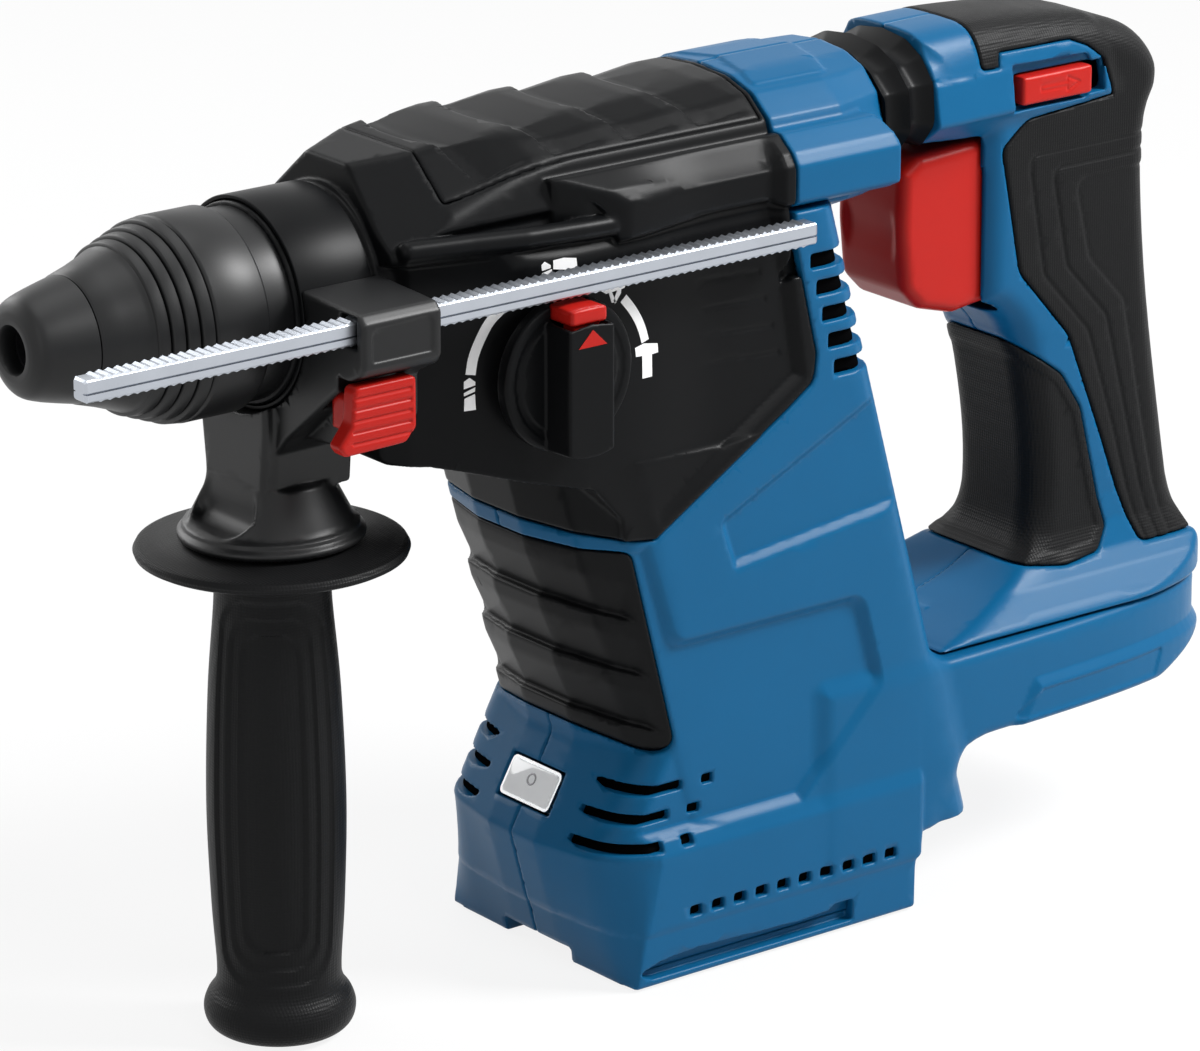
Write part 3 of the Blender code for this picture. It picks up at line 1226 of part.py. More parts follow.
def build_handle():
    shell = handle_form()
    for region in (BACK_GRIP, FRONT_GRIP):
        seat = slab(inset(region, -GAP), "xz", -CLEAR_OF, CLEAR_OF)
        cut(seat, handle_core(GRIP_THICKNESS + GAP))
        cut(shell, seat)
    pocket_half = TRIGGER_HALF_WIDTH + RUN
    pocket_end = TRIGGER_END_X + TRIGGER_TRAVEL + RUN
    pocket_z = (TRIGGER_LOW_Z - BITE, TRIGGER_TOP_Z + 0.0015)
    cut(shell, box((0.24, -pocket_half, pocket_z[0]), (pocket_end, pocket_half, pocket_z[1])))
    switch_half = SWITCH_HALF_WIDTH + GAP
    switch_x = TRIGGER_END_X + TRIGGER_TRAVEL + LOOSE
    room_low = (switch_x - 0.003, -switch_half, SWITCH_LOW_Z - 0.0005)
    cut(shell, box(room_low, (SWITCH_END_X + GAP, switch_half, SWITCH_TOP_Z + 0.0005)))
    slider_end = SLIDER_X + SLIDER_LENGTH + SLIDER_TRAVEL + RUN
    slider_half = SLIDER_HEIGHT / 2 + RUN
    slider_room_z = (SLIDER_Z - slider_half, SLIDER_Z + slider_half)
    cut(shell, box((SLIDER_X - RUN, -CLEAR_OF, slider_room_z[0]), (slider_end, CLEAR_OF, slider_room_z[1])))
    knuckle = cylinder(KNUCKLE_R, -KNUCKLE_HALF_WIDTH, KNUCKLE_HALF_WIDTH, "y", PIVOT, 20)
    web_top = FOOT_TOP_Z + 0.004
    web = box((PIVOT_X - 0.004, -KNUCKLE_HALF_WIDTH, PIVOT_Z), (PIVOT_X + 0.006, KNUCKLE_HALF_WIDTH, web_top))
    join(shell, knuckle, web)
    cut(shell, cylinder(PIVOT_R + GAP, -0.03, 0.03, "y", PIVOT, 16))
    for side, name in ((-1, "handle_shell_left"), (1, "handle_shell_right")):
        half = twin(shell)
        low, high = sorted((side * GAP / 2, side * CLEAR_OF))
        keep(half, box((0.20, low, RIM_Z - 0.05), (FOOT_END_X + 0.05, high, 0.08)))
        part(half, name, BLUE)
    helper(shell)
    for region, name in ((BACK_GRIP, "handle_back_grip"), (FRONT_GRIP, "handle_front_grip")):
        grip = handle_form()
        keep(grip, slab(region, "xz", -CLEAR_OF, CLEAR_OF))
        cut(grip, handle_core(GRIP_THICKNESS))
        part(grip, name, RUBBER)

    trigger_side = [(0.2465, 0.0012), (0.2520, 0.0048)]
    trigger_side += [(0.2700, TRIGGER_TOP_Z), (TRIGGER_END_X, TRIGGER_TOP_Z)]
    trigger_side += [(TRIGGER_END_X, -0.0240), (0.2755, -0.0360), (0.2640, TRIGGER_LOW_Z), (0.2530, -0.0345)]
    trigger_side += [(0.2478, -0.0300), (0.2462, -0.0150)]
    trigger = slab(trigger_side, "xz", -TRIGGER_HALF_WIDTH, TRIGGER_HALF_WIDTH)
    part(trigger, "trigger", RED, at=(0.265, 0.0, -0.015))

    switch = box(
        (switch_x, -SWITCH_HALF_WIDTH, SWITCH_LOW_Z),
        (SWITCH_END_X, SWITCH_HALF_WIDTH, SWITCH_TOP_Z),
    )
    part(switch, "trigger_switch", BLACK, smooth=False)

    slider = box(
        (SLIDER_X, -SLIDER_HALF_WIDTH, SLIDER_Z - SLIDER_HEIGHT / 2),
        (SLIDER_X + SLIDER_LENGTH, SLIDER_HALF_WIDTH, SLIDER_Z + SLIDER_HEIGHT / 2),
    )
    part(slider, "direction_slider", RED, at=(SLIDER_X + SLIDER_LENGTH / 2, 0.0, SLIDER_Z), smooth=False)


def bellows_ring(x, half_width, low, high, count=24):
    """A rounded-square ring across x."""
    middle = (low + high) / 2
    ring = []
    for index in range(count):
        angle = 2 * math.pi * index / count
        across = math.copysign(abs(math.cos(angle)) ** 0.55, math.cos(angle))
        up = math.copysign(abs(math.sin(angle)) ** 0.55, math.sin(angle))
        ring.append((x, half_width * across, middle + (high - low) / 2 * up))
    return ring


def lofted(rings):
    """A closed loft through rings of equal counts."""
    bm = bmesh.new()
    loops = [[bm.verts.new(point) for point in ring] for ring in rings]
    for first, second in zip(loops, loops[1:]):
        for index in range(len(first)):
            following = (index + 1) % len(first)
            bm.faces.new((first[index], first[following], second[following], second[index]))
    bm.faces.new(loops[0])
    bm.faces.new(loops[-1])
    bmesh.ops.recalc_face_normals(bm, faces=bm.faces)
    return from_bmesh(bm)


def build_bellows():
    front = CAP_REAR_X + GAP
    rear = HANDLE_FRONT_X - GAP
    rings = []
    stations = 6 * BELLOWS_VALLEYS
    for index in range(stations + 1):
        share = index / stations
        fold = -0.5 * (1 - math.cos(2 * math.pi * BELLOWS_VALLEYS * share)) * BELLOWS_FOLD
        half = BELLOWS_FRONT_HALF + (BELLOWS_REAR_HALF - BELLOWS_FRONT_HALF) * share + fold
        ring_x = front + (rear - front) * share
        rings.append(bellows_ring(ring_x, half, BELLOWS_LOW_Z - fold, BELLOWS_HIGH_Z + fold))
    bellows = lofted(rings)
    inner = []
    thick = BELLOWS_FOLD + BELLOWS_WALL
    for x, half in ((front - BITE, BELLOWS_FRONT_HALF), (rear + BITE, BELLOWS_REAR_HALF)):
        inner.append(bellows_ring(x, half - thick, BELLOWS_LOW_Z + thick, BELLOWS_HIGH_Z - thick, 20))
    cut(bellows, lofted(inner))
    part(bellows, "bellows", RUBBER)

    spring_centre = (0.0, 0.0, HANDLE_SPRING_Z)
    spring_ends = (front + HANDLE_WIRE_R, rear - HANDLE_WIRE_R)
    spring = coil(*spring_ends, HANDLE_SPRING_R, HANDLE_WIRE_R, SPRING_TURNS, spring_centre)
    part(spring, "handle_spring", STEEL)


def build_knob():
    face_y = -HALF_WIDTH - GAP
    centre = (KNOB_X, 0.0, KNOB_Z)
    knob = cylinder(KNOB_R, face_y - KNOB_PLATE, face_y, "y", centre, 36)
    bar_top = KNOB_R - BUTTON_LENGTH
    bar = box(
        (KNOB_X - KNOB_BAR_WIDTH / 2, face_y - KNOB_PLATE - KNOB_BAR_HEIGHT, KNOB_Z - KNOB_R + 0.002),
        (KNOB_X + KNOB_BAR_WIDTH / 2, face_y - KNOB_PLATE + 0.001, KNOB_Z + bar_top),
    )
    join(knob, bar)
    join(knob, cylinder(KNOB_STEM_R, face_y - 0.001, KNOB_STEM_END_Y, "y", centre, 20))
    pin_z = KNOB_Z + KNOB_PIN_OFFSET
    pin_end = FORK_Y + FORK_THICKNESS - GAP
    pin = cylinder(KNOB_PIN_R, KNOB_STEM_END_Y - BITE, pin_end, "y", (KNOB_X, 0, pin_z), 12)
    join(knob, pin)
    stem_half = KNOB_BAR_WIDTH / 2 - 0.003
    stem_y = (face_y - KNOB_PLATE - KNOB_BAR_HEIGHT * 0.75, face_y - KNOB_PLATE - KNOB_BAR_HEIGHT * 0.25)
    stem_low = KNOB_Z + bar_top - 0.005
    room_low = stem_low - BUTTON_TRAVEL - RUN
    cut(
        knob,
        box(
            (KNOB_X - stem_half - GAP, stem_y[0] - GAP, room_low),
            (KNOB_X + stem_half + GAP, stem_y[1] + GAP, KNOB_Z + bar_top + 0.01),
        ),
    )
    part(knob, "mode_knob", BLACK, at=centre)

    button_low = KNOB_Z + bar_top + BUTTON_TRAVEL + GAP
    button_top = KNOB_Z + math.sqrt(BUTTON_SWEEP_R**2 - (KNOB_BAR_WIDTH / 2) ** 2)
    button = box(
        (KNOB_X - KNOB_BAR_WIDTH / 2, face_y - KNOB_PLATE - KNOB_BAR_HEIGHT + 0.0005, button_low),
        (KNOB_X + KNOB_BAR_WIDTH / 2, face_y - KNOB_PLATE - GAP, button_top),
    )
    join(
        button,
        box((KNOB_X - stem_half, stem_y[0], stem_low), (KNOB_X + stem_half, stem_y[1], button_low + 0.0005)),
    )
    part(button, "knob_release_button", RED, at=(KNOB_X, 0.0, KNOB_Z + bar_top), smooth=False)

    fork = box((KNOB_X - 0.0105, FORK_Y, -0.0375), (KNOB_X + 0.013, FORK_Y + FORK_THICKNESS, -0.0115))
    window = (0.0075, 0.01, 0.0065)
    window_middle = (KNOB_X, FORK_Y, KNOB_Z)
    window_low = [m - w for m, w in zip(window_middle, window)]
    cut(fork, box(window_low, [m + w for m, w in zip(window_middle, window)]))
    prong_x = SPINDLE_END_X + 0.003
    prong_y = (FORK_Y + BITE, -SHAFT_R - LOOSE)
    prong = box((prong_x, prong_y[0], SHAFT_Z - 0.004), (prong_x + 0.003, prong_y[1], SHAFT_Z + 0.004))
    join(fork, prong)
    part(fork, "selector_fork", DARK_STEEL, at=(KNOB_X, FORK_Y, SHAFT_Z), smooth=False)


def build_side_handle():
    strap = turned(
        ring_profile(CLAMP_X, CLAMP_X + STRAP_WIDTH, STRAP_R - STRAP_WALL, STRAP_R), steps=OUTER_STEPS
    )
    part(strap, "clamp_strap", BLACK)

    seat_r = STRAP_R + GAP
    arm = [(-0.0200, 0.0085), (-0.0462, 0.0072), (-0.0478, 0.0055), (-0.0478, -0.0020), (-0.0464, -0.0035)]
    arm += [(-0.0160, -0.0295), (-0.0125, -0.0330), (-0.0115, -0.0440), (0.0115, -0.0440), (0.0125, -0.0330)]
    arm += [(0.0215, -0.0250), (0.0280, -0.0120), (0.0295, 0.0020), (0.0270, 0.0085)]
    clamp = slab(arm, "yz", CLAMP_X, CLAMP_X + CLAMP_LENGTH)
    wedge = [(-0.0140, -0.0300), (-0.0300, -0.0285), (BUTTON_BACK_Y, -0.0215), (BUTTON_BACK_Y, -0.0030)]
    wedge += [(-0.0280, -0.0030), (-0.0140, -0.0200)]
    join(clamp, slab(wedge, "yz", CLAMP_X + 0.0060, CLAMP_X + CLAMP_LENGTH))
    base_axis = (GRIP_AXIS_X, 0.0, 0.0)
    base = turned(
        [
            (-0.0400, 0.0),
            (-0.0400, 0.0125),
            (-0.0470, 0.0185),
            (-0.0510, 0.0205),
            (-0.0525, 0.0222),
            (CLAMP_BASE_Z + 0.001, 0.0222),
            (CLAMP_BASE_Z, 0.0214),
            (CLAMP_BASE_Z, 0.0),
        ],
        axis="z",
        centre=base_axis,
        steps=OUTER_STEPS,
    )
    join(clamp, base)
    cut(clamp, cylinder(seat_r, 0.04, 0.10, "x", sides=OUTER_STEPS))
    cut(clamp, cylinder(CLAMP_BOLT_R + GAP, -0.10, 0.0, "z", base_axis, 20))
    rod_room_y = ROD_THICKNESS / 2 + RUN
    rod_room_z = (ROD_Z - ROD_R - RUN, ROD_Z + ROD_R + RUN)
    cut(clamp, box((0.04, ROD_Y - rod_room_y, rod_room_z[0]), (0.10, ROD_Y + rod_room_y, rod_room_z[1])))
    stem_x = (CLAMP_X + 0.0085, CLAMP_X + 0.0155)
    stem_z = (-0.0190, -0.0110)
    stem_end = BUTTON_BACK_Y + 0.0060
    cut(
        clamp,
        box(
            (stem_x[0] - GAP, -0.06, stem_z[0] - GAP),
            (stem_x[1] + GAP, stem_end + DEPTH_BUTTON_TRAVEL + RUN, stem_z[1] + GAP),
        ),
    )
    part(clamp, "side_handle_clamp", BLACK)

    button_side = [(CLAMP_X - 0.0010, -0.0105), (CLAMP_X + 0.0160, -0.0105), (CLAMP_X + 0.0160, -0.0215)]
    button_side += [(CLAMP_X + 0.0130, -0.0245), (CLAMP_X - 0.0040, -0.0250), (CLAMP_X - 0.0055, -0.0225)]
    button_side += [(CLAMP_X - 0.0015, -0.0180)]
    button_back = BUTTON_BACK_Y - DEPTH_BUTTON_TRAVEL - GAP
    button = slab(button_side, "xz", button_back - DEPTH_BUTTON_THICKNESS, button_back)
    join(button, box((stem_x[0], button_back - 0.001, stem_z[0]), (stem_x[1], stem_end, stem_z[1])))
    part(button, "depth_button", RED, at=(CLAMP_X + 0.008, button_back, -0.016))

    bolt_top = -(STRAP_R + GAP)
    bolt = cylinder(CLAMP_BOLT_R, BOLT_END_Z, bolt_top - 0.0005, "z", base_axis, 20)
    part(bolt, "clamp_bolt", STEEL)

    top = CLAMP_BASE_Z - GAP
    bore = CLAMP_BOLT_R + GAP
    grip = turned(
        [
            (top, bore),
            (top, 0.0205),
            (top - 0.0015, GUARD_R - 0.0010),
            (top - 0.0028, GUARD_R),
            (top - 0.0042, GUARD_R - 0.0006),
            (top - 0.0055, 0.0225),
            (top - 0.0085, GRIP_R - 0.0020),
            *((top + share * (RIM_Z - top), GRIP_R - slimmer) for share, slimmer in GRIP_WAIST),
            (RIM_Z + 0.0090, GRIP_END_R - 0.0008),
            (RIM_Z + 0.0060, GRIP_END_R),
            (RIM_Z + 0.0025, GRIP_END_R - 0.0008),
            (RIM_Z, GRIP_END_R - 0.0027),
            (RIM_Z, 0.0),
            (BOLT_END_Z - 0.001, 0.0),
            (BOLT_END_Z - 0.001, bore),
        ],
        axis="z",
        centre=base_axis,
        steps=OUTER_STEPS,
    )
    part(grip, "side_handle_grip", RUBBER)


def build_depth_rod():
    pitch = ROD_LENGTH / ROD_TEETH
    top = []
    for index in range(ROD_TEETH):
        start = ROD_FRONT_X + pitch * index
        top += [(start + pitch * 0.1, ROD_Z + ROD_R - ROD_TOOTH_DEPTH), (start + pitch * 0.6, ROD_Z + ROD_R)]
    bottom = [(ROD_FRONT_X + ROD_LENGTH, ROD_Z - ROD_R), (ROD_FRONT_X, ROD_Z - ROD_R)]
    half = ROD_THICKNESS / 2
    rod = slab(top + bottom, "xz", ROD_Y - half, ROD_Y + half)
    for side in (-1, 1):
        low, high = sorted((ROD_Y + side * (half - 0.0006), ROD_Y + side * (half + 0.001)))
        cut(rod, box((-0.1, low, ROD_Z - 0.0004), (0.3, high, ROD_Z + 0.0004)))
    part(rod, "depth_rod", STEEL, at=(CLAMP_X, ROD_Y, ROD_Z), smooth=False)


build_chuck()
build_hammer_mechanism()
build_gears()
build_motor()
build_gear_housing()
build_casing()
build_handle()
build_bellows()
build_knob()
build_side_handle()
build_depth_rod()
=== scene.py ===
import functools
import math

import bmesh
import bpy
import numpy as np
import openvdb as vdb
from mathutils import Matrix, Vector


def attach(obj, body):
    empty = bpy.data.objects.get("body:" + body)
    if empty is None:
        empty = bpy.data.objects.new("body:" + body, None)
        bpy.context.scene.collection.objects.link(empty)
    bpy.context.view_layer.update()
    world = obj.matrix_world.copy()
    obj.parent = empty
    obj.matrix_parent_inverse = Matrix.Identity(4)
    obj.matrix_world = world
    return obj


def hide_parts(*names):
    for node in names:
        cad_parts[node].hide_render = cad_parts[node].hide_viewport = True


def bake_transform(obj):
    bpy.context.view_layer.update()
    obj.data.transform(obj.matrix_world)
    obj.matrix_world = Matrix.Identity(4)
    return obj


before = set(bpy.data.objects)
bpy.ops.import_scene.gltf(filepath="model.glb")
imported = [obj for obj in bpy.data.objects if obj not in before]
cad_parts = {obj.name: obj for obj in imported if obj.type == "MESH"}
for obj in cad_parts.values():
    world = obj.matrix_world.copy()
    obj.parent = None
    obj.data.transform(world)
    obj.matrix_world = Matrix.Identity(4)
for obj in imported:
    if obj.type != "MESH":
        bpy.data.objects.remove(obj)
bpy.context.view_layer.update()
print("frame loaded:", len(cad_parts), "nodes")

# All shapes below are in millimetres: x back from the tool socket, y to the right, z up from the hammer axis.
axisPlace = np.array([-0.188, 0.0, 0.166])
millimetre = 0.001
mergeReach = 1e-6
meshThinning = 0.02


def spacing(fine, coarse):
    return fine


voxel = spacing(0.6, 1.3)


def toWorld(points):
    return np.asarray(points, float) * millimetre + axisPlace


# outlines and distance fields


def rounded(corners, steps=5):
    # corners are (u, v) or (u, v, radius)
    made = []
    count = len(corners)
    for index, corner in enumerate(corners):
        point = np.array(corner[:2], float)
        radius = corner[2] if len(corner) > 2 else 0.0
        if not radius:
            made.append(point)
            continue
        before = np.array(corners[index - 1][:2], float) - point
        after = np.array(corners[(index + 1) % count][:2], float) - point
        lengths = np.hypot(*before), np.hypot(*after)
        before, after = before / lengths[0], after / lengths[1]
        half = math.acos(float(np.clip(before @ after, -1, 1))) / 2
        reach = min(radius / math.tan(half), 0.49 * lengths[0], 0.49 * lengths[1])
        radius = reach * math.tan(half)
        inward = before + after
        centre = point + inward / np.hypot(*inward) * radius / math.sin(half)
        start, end = point + before * reach - centre, point + after * reach - centre
        first = math.atan2(start[1], start[0])
        sweep = math.remainder(math.atan2(end[1], end[0]) - first, 2 * math.pi)
        for step in range(steps + 1):
            angle = first + sweep * step / steps
            made.append(centre + radius * np.array((math.cos(angle), math.sin(angle))))
    return np.array(made)


def flipped(corners, axis):
    # the mirror image of a half outline, in the order that closes it
    return [tuple(-v if k == axis else v for k, v in enumerate(corner)) for corner in corners[::-1]]


def flowing(points, steps=4):
    # a smooth line through the points
    pts = [np.array(p, float) for p in points]
    made = []
    for index in range(len(pts) - 1):
        b, c = pts[index], pts[index + 1]
        a = pts[index - 1] if index else 2 * b - c
        d = pts[index + 2] if index + 2 < len(pts) else 2 * c - b
        for step in range(steps):
            t = step / steps
            curve = 2 * b + (c - a) * t + (2 * a - 5 * b + 4 * c - d) * t**2 + (3 * b - a - 3 * c + d) * t**3
            made.append(0.5 * curve)
    made.append(pts[-1])
    return np.array(made)


def flatDistance(outline, u, v):
    pts = np.asarray(outline, float)
    u, v = u[:, None], v[None, :]
    best = np.full((u.size, v.size), 1e9)
    inside = np.zeros(best.shape, bool)
    for (au, av), (bu, bv) in zip(pts, np.roll(pts, -1, 0)):
        du, dv = bu - au, bv - av
        t = np.clip(((u - au) * du + (v - av) * dv) / (du * du + dv * dv + 1e-12), 0, 1)
        best = np.minimum(best, (u - au - t * du) ** 2 + (v - av - t * dv) ** 2)
        if dv:
            inside ^= ((av > v) != (bv > v)) & (u < au + (v - av) * du / dv)
    return (np.where(inside, -1.0, 1.0) * np.sqrt(best)).astype(np.float32)


def meet(a, b, radius=0.0):
    if not radius:
        return np.maximum(a, b)
    corner = np.hypot(np.maximum(a + radius, 0), np.maximum(b + radius, 0))
    return np.minimum(-radius, np.maximum(a, b)) + corner


def merge(a, b, radius=0.0):
    if not radius:
        return np.minimum(a, b)
    corner = np.hypot(np.maximum(radius - a, 0), np.maximum(radius - b, 0))
    return np.maximum(radius, np.minimum(a, b)) - corner


def without(a, b, radius=0.0):
    return meet(a, -b, radius)


def slab(value, low, high):
    return np.maximum(low - value, value - high)


def ramp(value, low, high):
    return np.clip((value - low) / (high - low), 0, 1)


def soft(value, low, high):
    t = ramp(value, low, high)
    return t * t * (3 - 2 * t)


class Block:
    # sample points of one moulded piece
    def __init__(self, low, high, step=None):
        self.step = step or voxel
        self.axes = [np.arange(low[i], high[i] + self.step, self.step) for i in range(3)]
        shaped = np.meshgrid(*self.axes, indexing="ij", sparse=True)
        self.x, self.y, self.z = (part.astype(np.float32) for part in shaped)
        self.across = np.abs(self.y)

    def side(self, outline):
        return flatDistance(outline, self.axes[0], self.axes[2])[:, None, :]

    def plan(self, outline):
        return flatDistance(outline, self.axes[0], self.axes[1])[:, :, None]

    def section(self, outline):
        return flatDistance(outline, self.axes[1], self.axes[2])[None, :, :]

    def bar(self, low, high, radius=0.0):
        made = None
        for value, a, b in zip((self.x, self.y, self.z), low, high):
            part = slab(value, a, b)
            made = part if made is None else meet(made, part, radius)
        return made

    def shiftedSide(self, outline, shift):
        # the side outline, moved along x by an amount that varies over y and z
        room = float(np.max(np.abs(shift))) + 2
        wide = np.arange(self.axes[0][0] - room, self.axes[0][-1] + room, self.step)
        flat = flatDistance(outline, wide, self.axes[2])
        place = (self.x - shift - np.float32(wide[0])) / np.float32(self.step)
        index = np.clip(place.astype(np.int32), 0, len(wide) - 2)
        share = place - index
        level = np.arange(len(self.axes[2]))[None, None, :]
        return flat[index, level] * (1 - share) + flat[index + 1, level] * share

    def widenedSection(self, outline, scale):
        # the cross-section outline, stretched across by an amount that varies along x
        fine = np.arange(0, float(self.across.max() / scale.min()) + 2 * self.step, self.step)
        flat = flatDistance(outline, fine, self.axes[2])
        place = self.across / scale / np.float32(self.step)
        index = np.clip(place.astype(np.int32), 0, len(fine) - 2)
        share = place - index
        return (flat[index[:, :, 0]] * (1 - share)) + flat[index[:, :, 0] + 1] * share

    def leaningPlan(self, outline, lean, aboutZ):
        # the plan outline, moved along x in step with the height
        shift = lean * (aboutZ - self.axes[2])
        wide = np.arange(self.axes[0][0] - shift.max() - 2, self.axes[0][-1] - shift.min() + 2, self.step)
        flat = flatDistance(outline, wide, self.axes[1])
        count = len(self.axes[0])
        made = np.empty((count, len(self.axes[1]), len(self.axes[2])), np.float32)
        for level, moved in enumerate(shift):
            place = (self.axes[0][0] - moved - wide[0]) / self.step
            index = int(place)
            share = place - index
            near, far = flat[index : index + count], flat[index + 1 : index + 1 + count]
            made[:, :, level] = near * (1 - share) + far * share
        return made

    def readings(self, field, points):
        # the field between the sample points
        place = (points - np.array([axis[0] for axis in self.axes])) / self.step
        last = np.array(field.shape) - 2
        index = np.clip(place.astype(int), 0, last)
        share = np.clip(place - index, 0, 1)
        total = 0
        for corner in range(8):
            offset = np.array([(corner >> k) & 1 for k in range(3)])
            weight = np.prod(np.where(offset, share, 1 - share), axis=1)
            cell = index + offset
            total = total + weight * field[cell[:, 0], cell[:, 1], cell[:, 2]]
        return total

    def filled(self, field):
        return np.broadcast_to(field, [len(axis) for axis in self.axes])


def surfaceAt(block, field, x, z, start=-41.0):
    # how far to the left the surface lies at each (x, z)
    y = np.full(len(x), start)
    for _ in range(60):
        y = y + np.clip(block.readings(field, np.stack([x, y, z], 1)), -0.5, 2.0) * 0.8
    return y


# meshes


def linked(name, mesh, material):
    mesh.materials.append(material)
    obj = bpy.data.objects.new(name, mesh)
    bpy.context.scene.collection.objects.link(obj)
    return obj


def meshObject(name, points, faces, material, smooth=True):
    mesh = bpy.data.meshes.new(name)
    mesh.from_pydata([tuple(p) for p in points], [], [tuple(f) for f in faces])
    mesh.update()
    if smooth:
        mesh.shade_smooth()
    return linked(name, mesh, material)


def outward(obj, sharp=40):
    bm = bmesh.new()
    bm.from_mesh(obj.data)
    bmesh.ops.remove_doubles(bm, verts=bm.verts, dist=mergeReach)
    bmesh.ops.recalc_face_normals(bm, faces=bm.faces)
    bm.to_mesh(obj.data)
    bm.free()
    obj.data.shade_smooth()
    obj.data.set_sharp_from_angle(angle=math.radians(sharp))


def skinned(name, rings, material, ends, sharp=40):
    # a skin over rings of equal count; ends is "looped", "capped" or "open"
    rings = np.asarray(rings, float)
    rows, count = rings.shape[:2]
    faces = []
    for row in range(rows if ends == "looped" else rows - 1):
        a, b = row * count, (row + 1) % rows * count
        for step in range(count):
            follow = (step + 1) % count
            faces.append((a + step, a + follow, b + follow, b + step))
    if ends == "capped":
        faces += [tuple(range(count)), tuple(range((rows - 1) * count, rows * count))]
    obj = meshObject(name, toWorld(rings.reshape(-1, 3)), faces, material)
    outward(obj, sharp)
    return obj


def moulded(name, block, field, material, flip=False):
    # a closed mesh on the field's zero level, with its shading taken from the field
    field = np.ascontiguousarray(block.filled(field), np.float32)
    edge = np.full(tuple(n + 2 for n in field.shape), 3.0, np.float32)
    edge[1:-1, 1:-1, 1:-1] = np.clip(field / block.step, -3, 3)
    grid = vdb.FloatGrid(3.0)
    grid.copyFromArray(edge)
    points, triangles, quads = grid.convertToPolygons(0.0, meshThinning)
    points = (points - 1) * block.step + np.array([axis[0] for axis in block.axes])
    slope = np.empty((len(points), 3))
    reach = 0.6 * block.step
    for _ in range(2):
        for axis in range(3):
            move = np.zeros(3)
            move[axis] = reach
            slope[:, axis] = block.readings(field, points + move) - block.readings(field, points - move)
        slope /= 2 * reach
        steep = np.maximum((slope**2).sum(1), 0.25)
        away = np.clip(block.readings(field, points) / steep, -0.5 * block.step, 0.5 * block.step)
        points = points - slope * away[:, None]
    normals = slope / np.maximum(np.linalg.norm(slope, axis=1), 1e-6)[:, None]
    if flip:
        points = points * (1, -1, 1)
        normals = normals * (1, -1, 1)
    winding = slice(None, None, -1 if flip else 1)
    corners = np.concatenate([quads[:, winding].ravel(), triangles[:, winding].ravel()]).astype(np.int32)
    fours, threes = np.arange(len(quads)) * 4, len(quads) * 4 + np.arange(len(triangles)) * 3
    starts = np.concatenate([fours, threes]).astype(np.int32)
    mesh = bpy.data.meshes.new(name)
    mesh.vertices.add(len(points))
    mesh.vertices.foreach_set("co", toWorld(points).astype(np.float32).ravel())
    mesh.loops.add(len(corners))
    mesh.loops.foreach_set("vertex_index", corners)
    mesh.polygons.add(len(starts))
    mesh.polygons.foreach_set("loop_start", starts)
    mesh.update(calc_edges=True)
    mesh.validate()
    mesh.shade_smooth()
    mesh.normals_split_custom_set_from_vertices(normals.tolist())
    print(f"  {name}: {2 * len(quads) + len(triangles)} triangles")
    return linked(name, mesh, material)


def turned(name, profile, material, axis="x", centre=(0, 0, 0), steps=96, push=None):
    # a turned piece from (along, radius) pairs; push may move each point in or out
    profile = np.asarray(profile, float)
    angles = 2 * math.pi * np.arange(steps) / steps
    along = profile[:, 0][:, None] * np.ones(steps)
    radius = profile[:, 1][:, None] * np.ones(steps)
    if push is not None:
        radius = radius + push(along, np.broadcast_to(angles, radius.shape), radius)
    u, v = radius * np.cos(angles), radius * np.sin(angles)
    layout = {"x": (along, u, v), "y": (v, along, u), "z": (u, v, along)}[axis]
    onAxis = max(profile[0, 1], profile[-1, 1]) < mergeReach
    rings = np.stack(layout, -1) + np.array(centre)
    return skinned(name, rings, material, "open" if onAxis else "looped", 38)


def filleted(profile, radius=0.5, steps=3):
    # a turned profile with its corners rounded
    return rounded([(a, r, radius if r else 0.0) for a, r in profile], steps)


def plate(name, outline, plane, low, high, material, bevel=0.0):
    # a flat outline in the "xz" or "xy" plane, given a thickness
    upright = plane == "xz"
    bm = bmesh.new()
    face = bm.faces.new([bm.verts.new((u, low, v) if upright else (u, v, low)) for u, v in outline])
    made = bmesh.ops.extrude_face_region(bm, geom=[face])
    move = Vector((0, high - low, 0)) if upright else Vector((0, 0, high - low))
    bmesh.ops.translate(bm, vec=move, verts=[g for g in made["geom"] if isinstance(g, bmesh.types.BMVert)])
    bmesh.ops.recalc_face_normals(bm, faces=bm.faces)
    if bevel:
        sharp = [e for e in bm.edges if e.calc_face_angle(0) > 0.6]
        bmesh.ops.bevel(bm, geom=sharp, offset=bevel, segments=3, profile=0.5, affect="EDGES")
    bm.transform(Matrix.Translation(axisPlace.tolist()) @ Matrix.Scale(millimetre, 4))
    mesh = bpy.data.meshes.new(name)
    bm.to_mesh(mesh)
    bm.free()
    mesh.shade_smooth()
    mesh.set_sharp_from_angle(angle=math.radians(30))
    return linked(name, mesh, material)


def joined(name, pieces):
    material = pieces[0].data.materials[0]
    bm = bmesh.new()
    for piece in pieces:
        bm.from_mesh(piece.data)
    mesh = bpy.data.meshes.new(name)
    bm.to_mesh(mesh)
    bm.free()
    for piece in pieces:
        bpy.data.objects.remove(piece)
    mesh.shade_smooth()
    mesh.set_sharp_from_angle(angle=math.radians(32))
    return linked(name, mesh, material)


def settle(obj, body, slot, *nodes):
    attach(obj, body)
    if nodes:
        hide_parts(*nodes)


def stretch(obj, slot, node, bodies, start, end):
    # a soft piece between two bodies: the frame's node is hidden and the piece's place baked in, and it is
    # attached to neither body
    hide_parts(node)
    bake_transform(obj)


# finishes


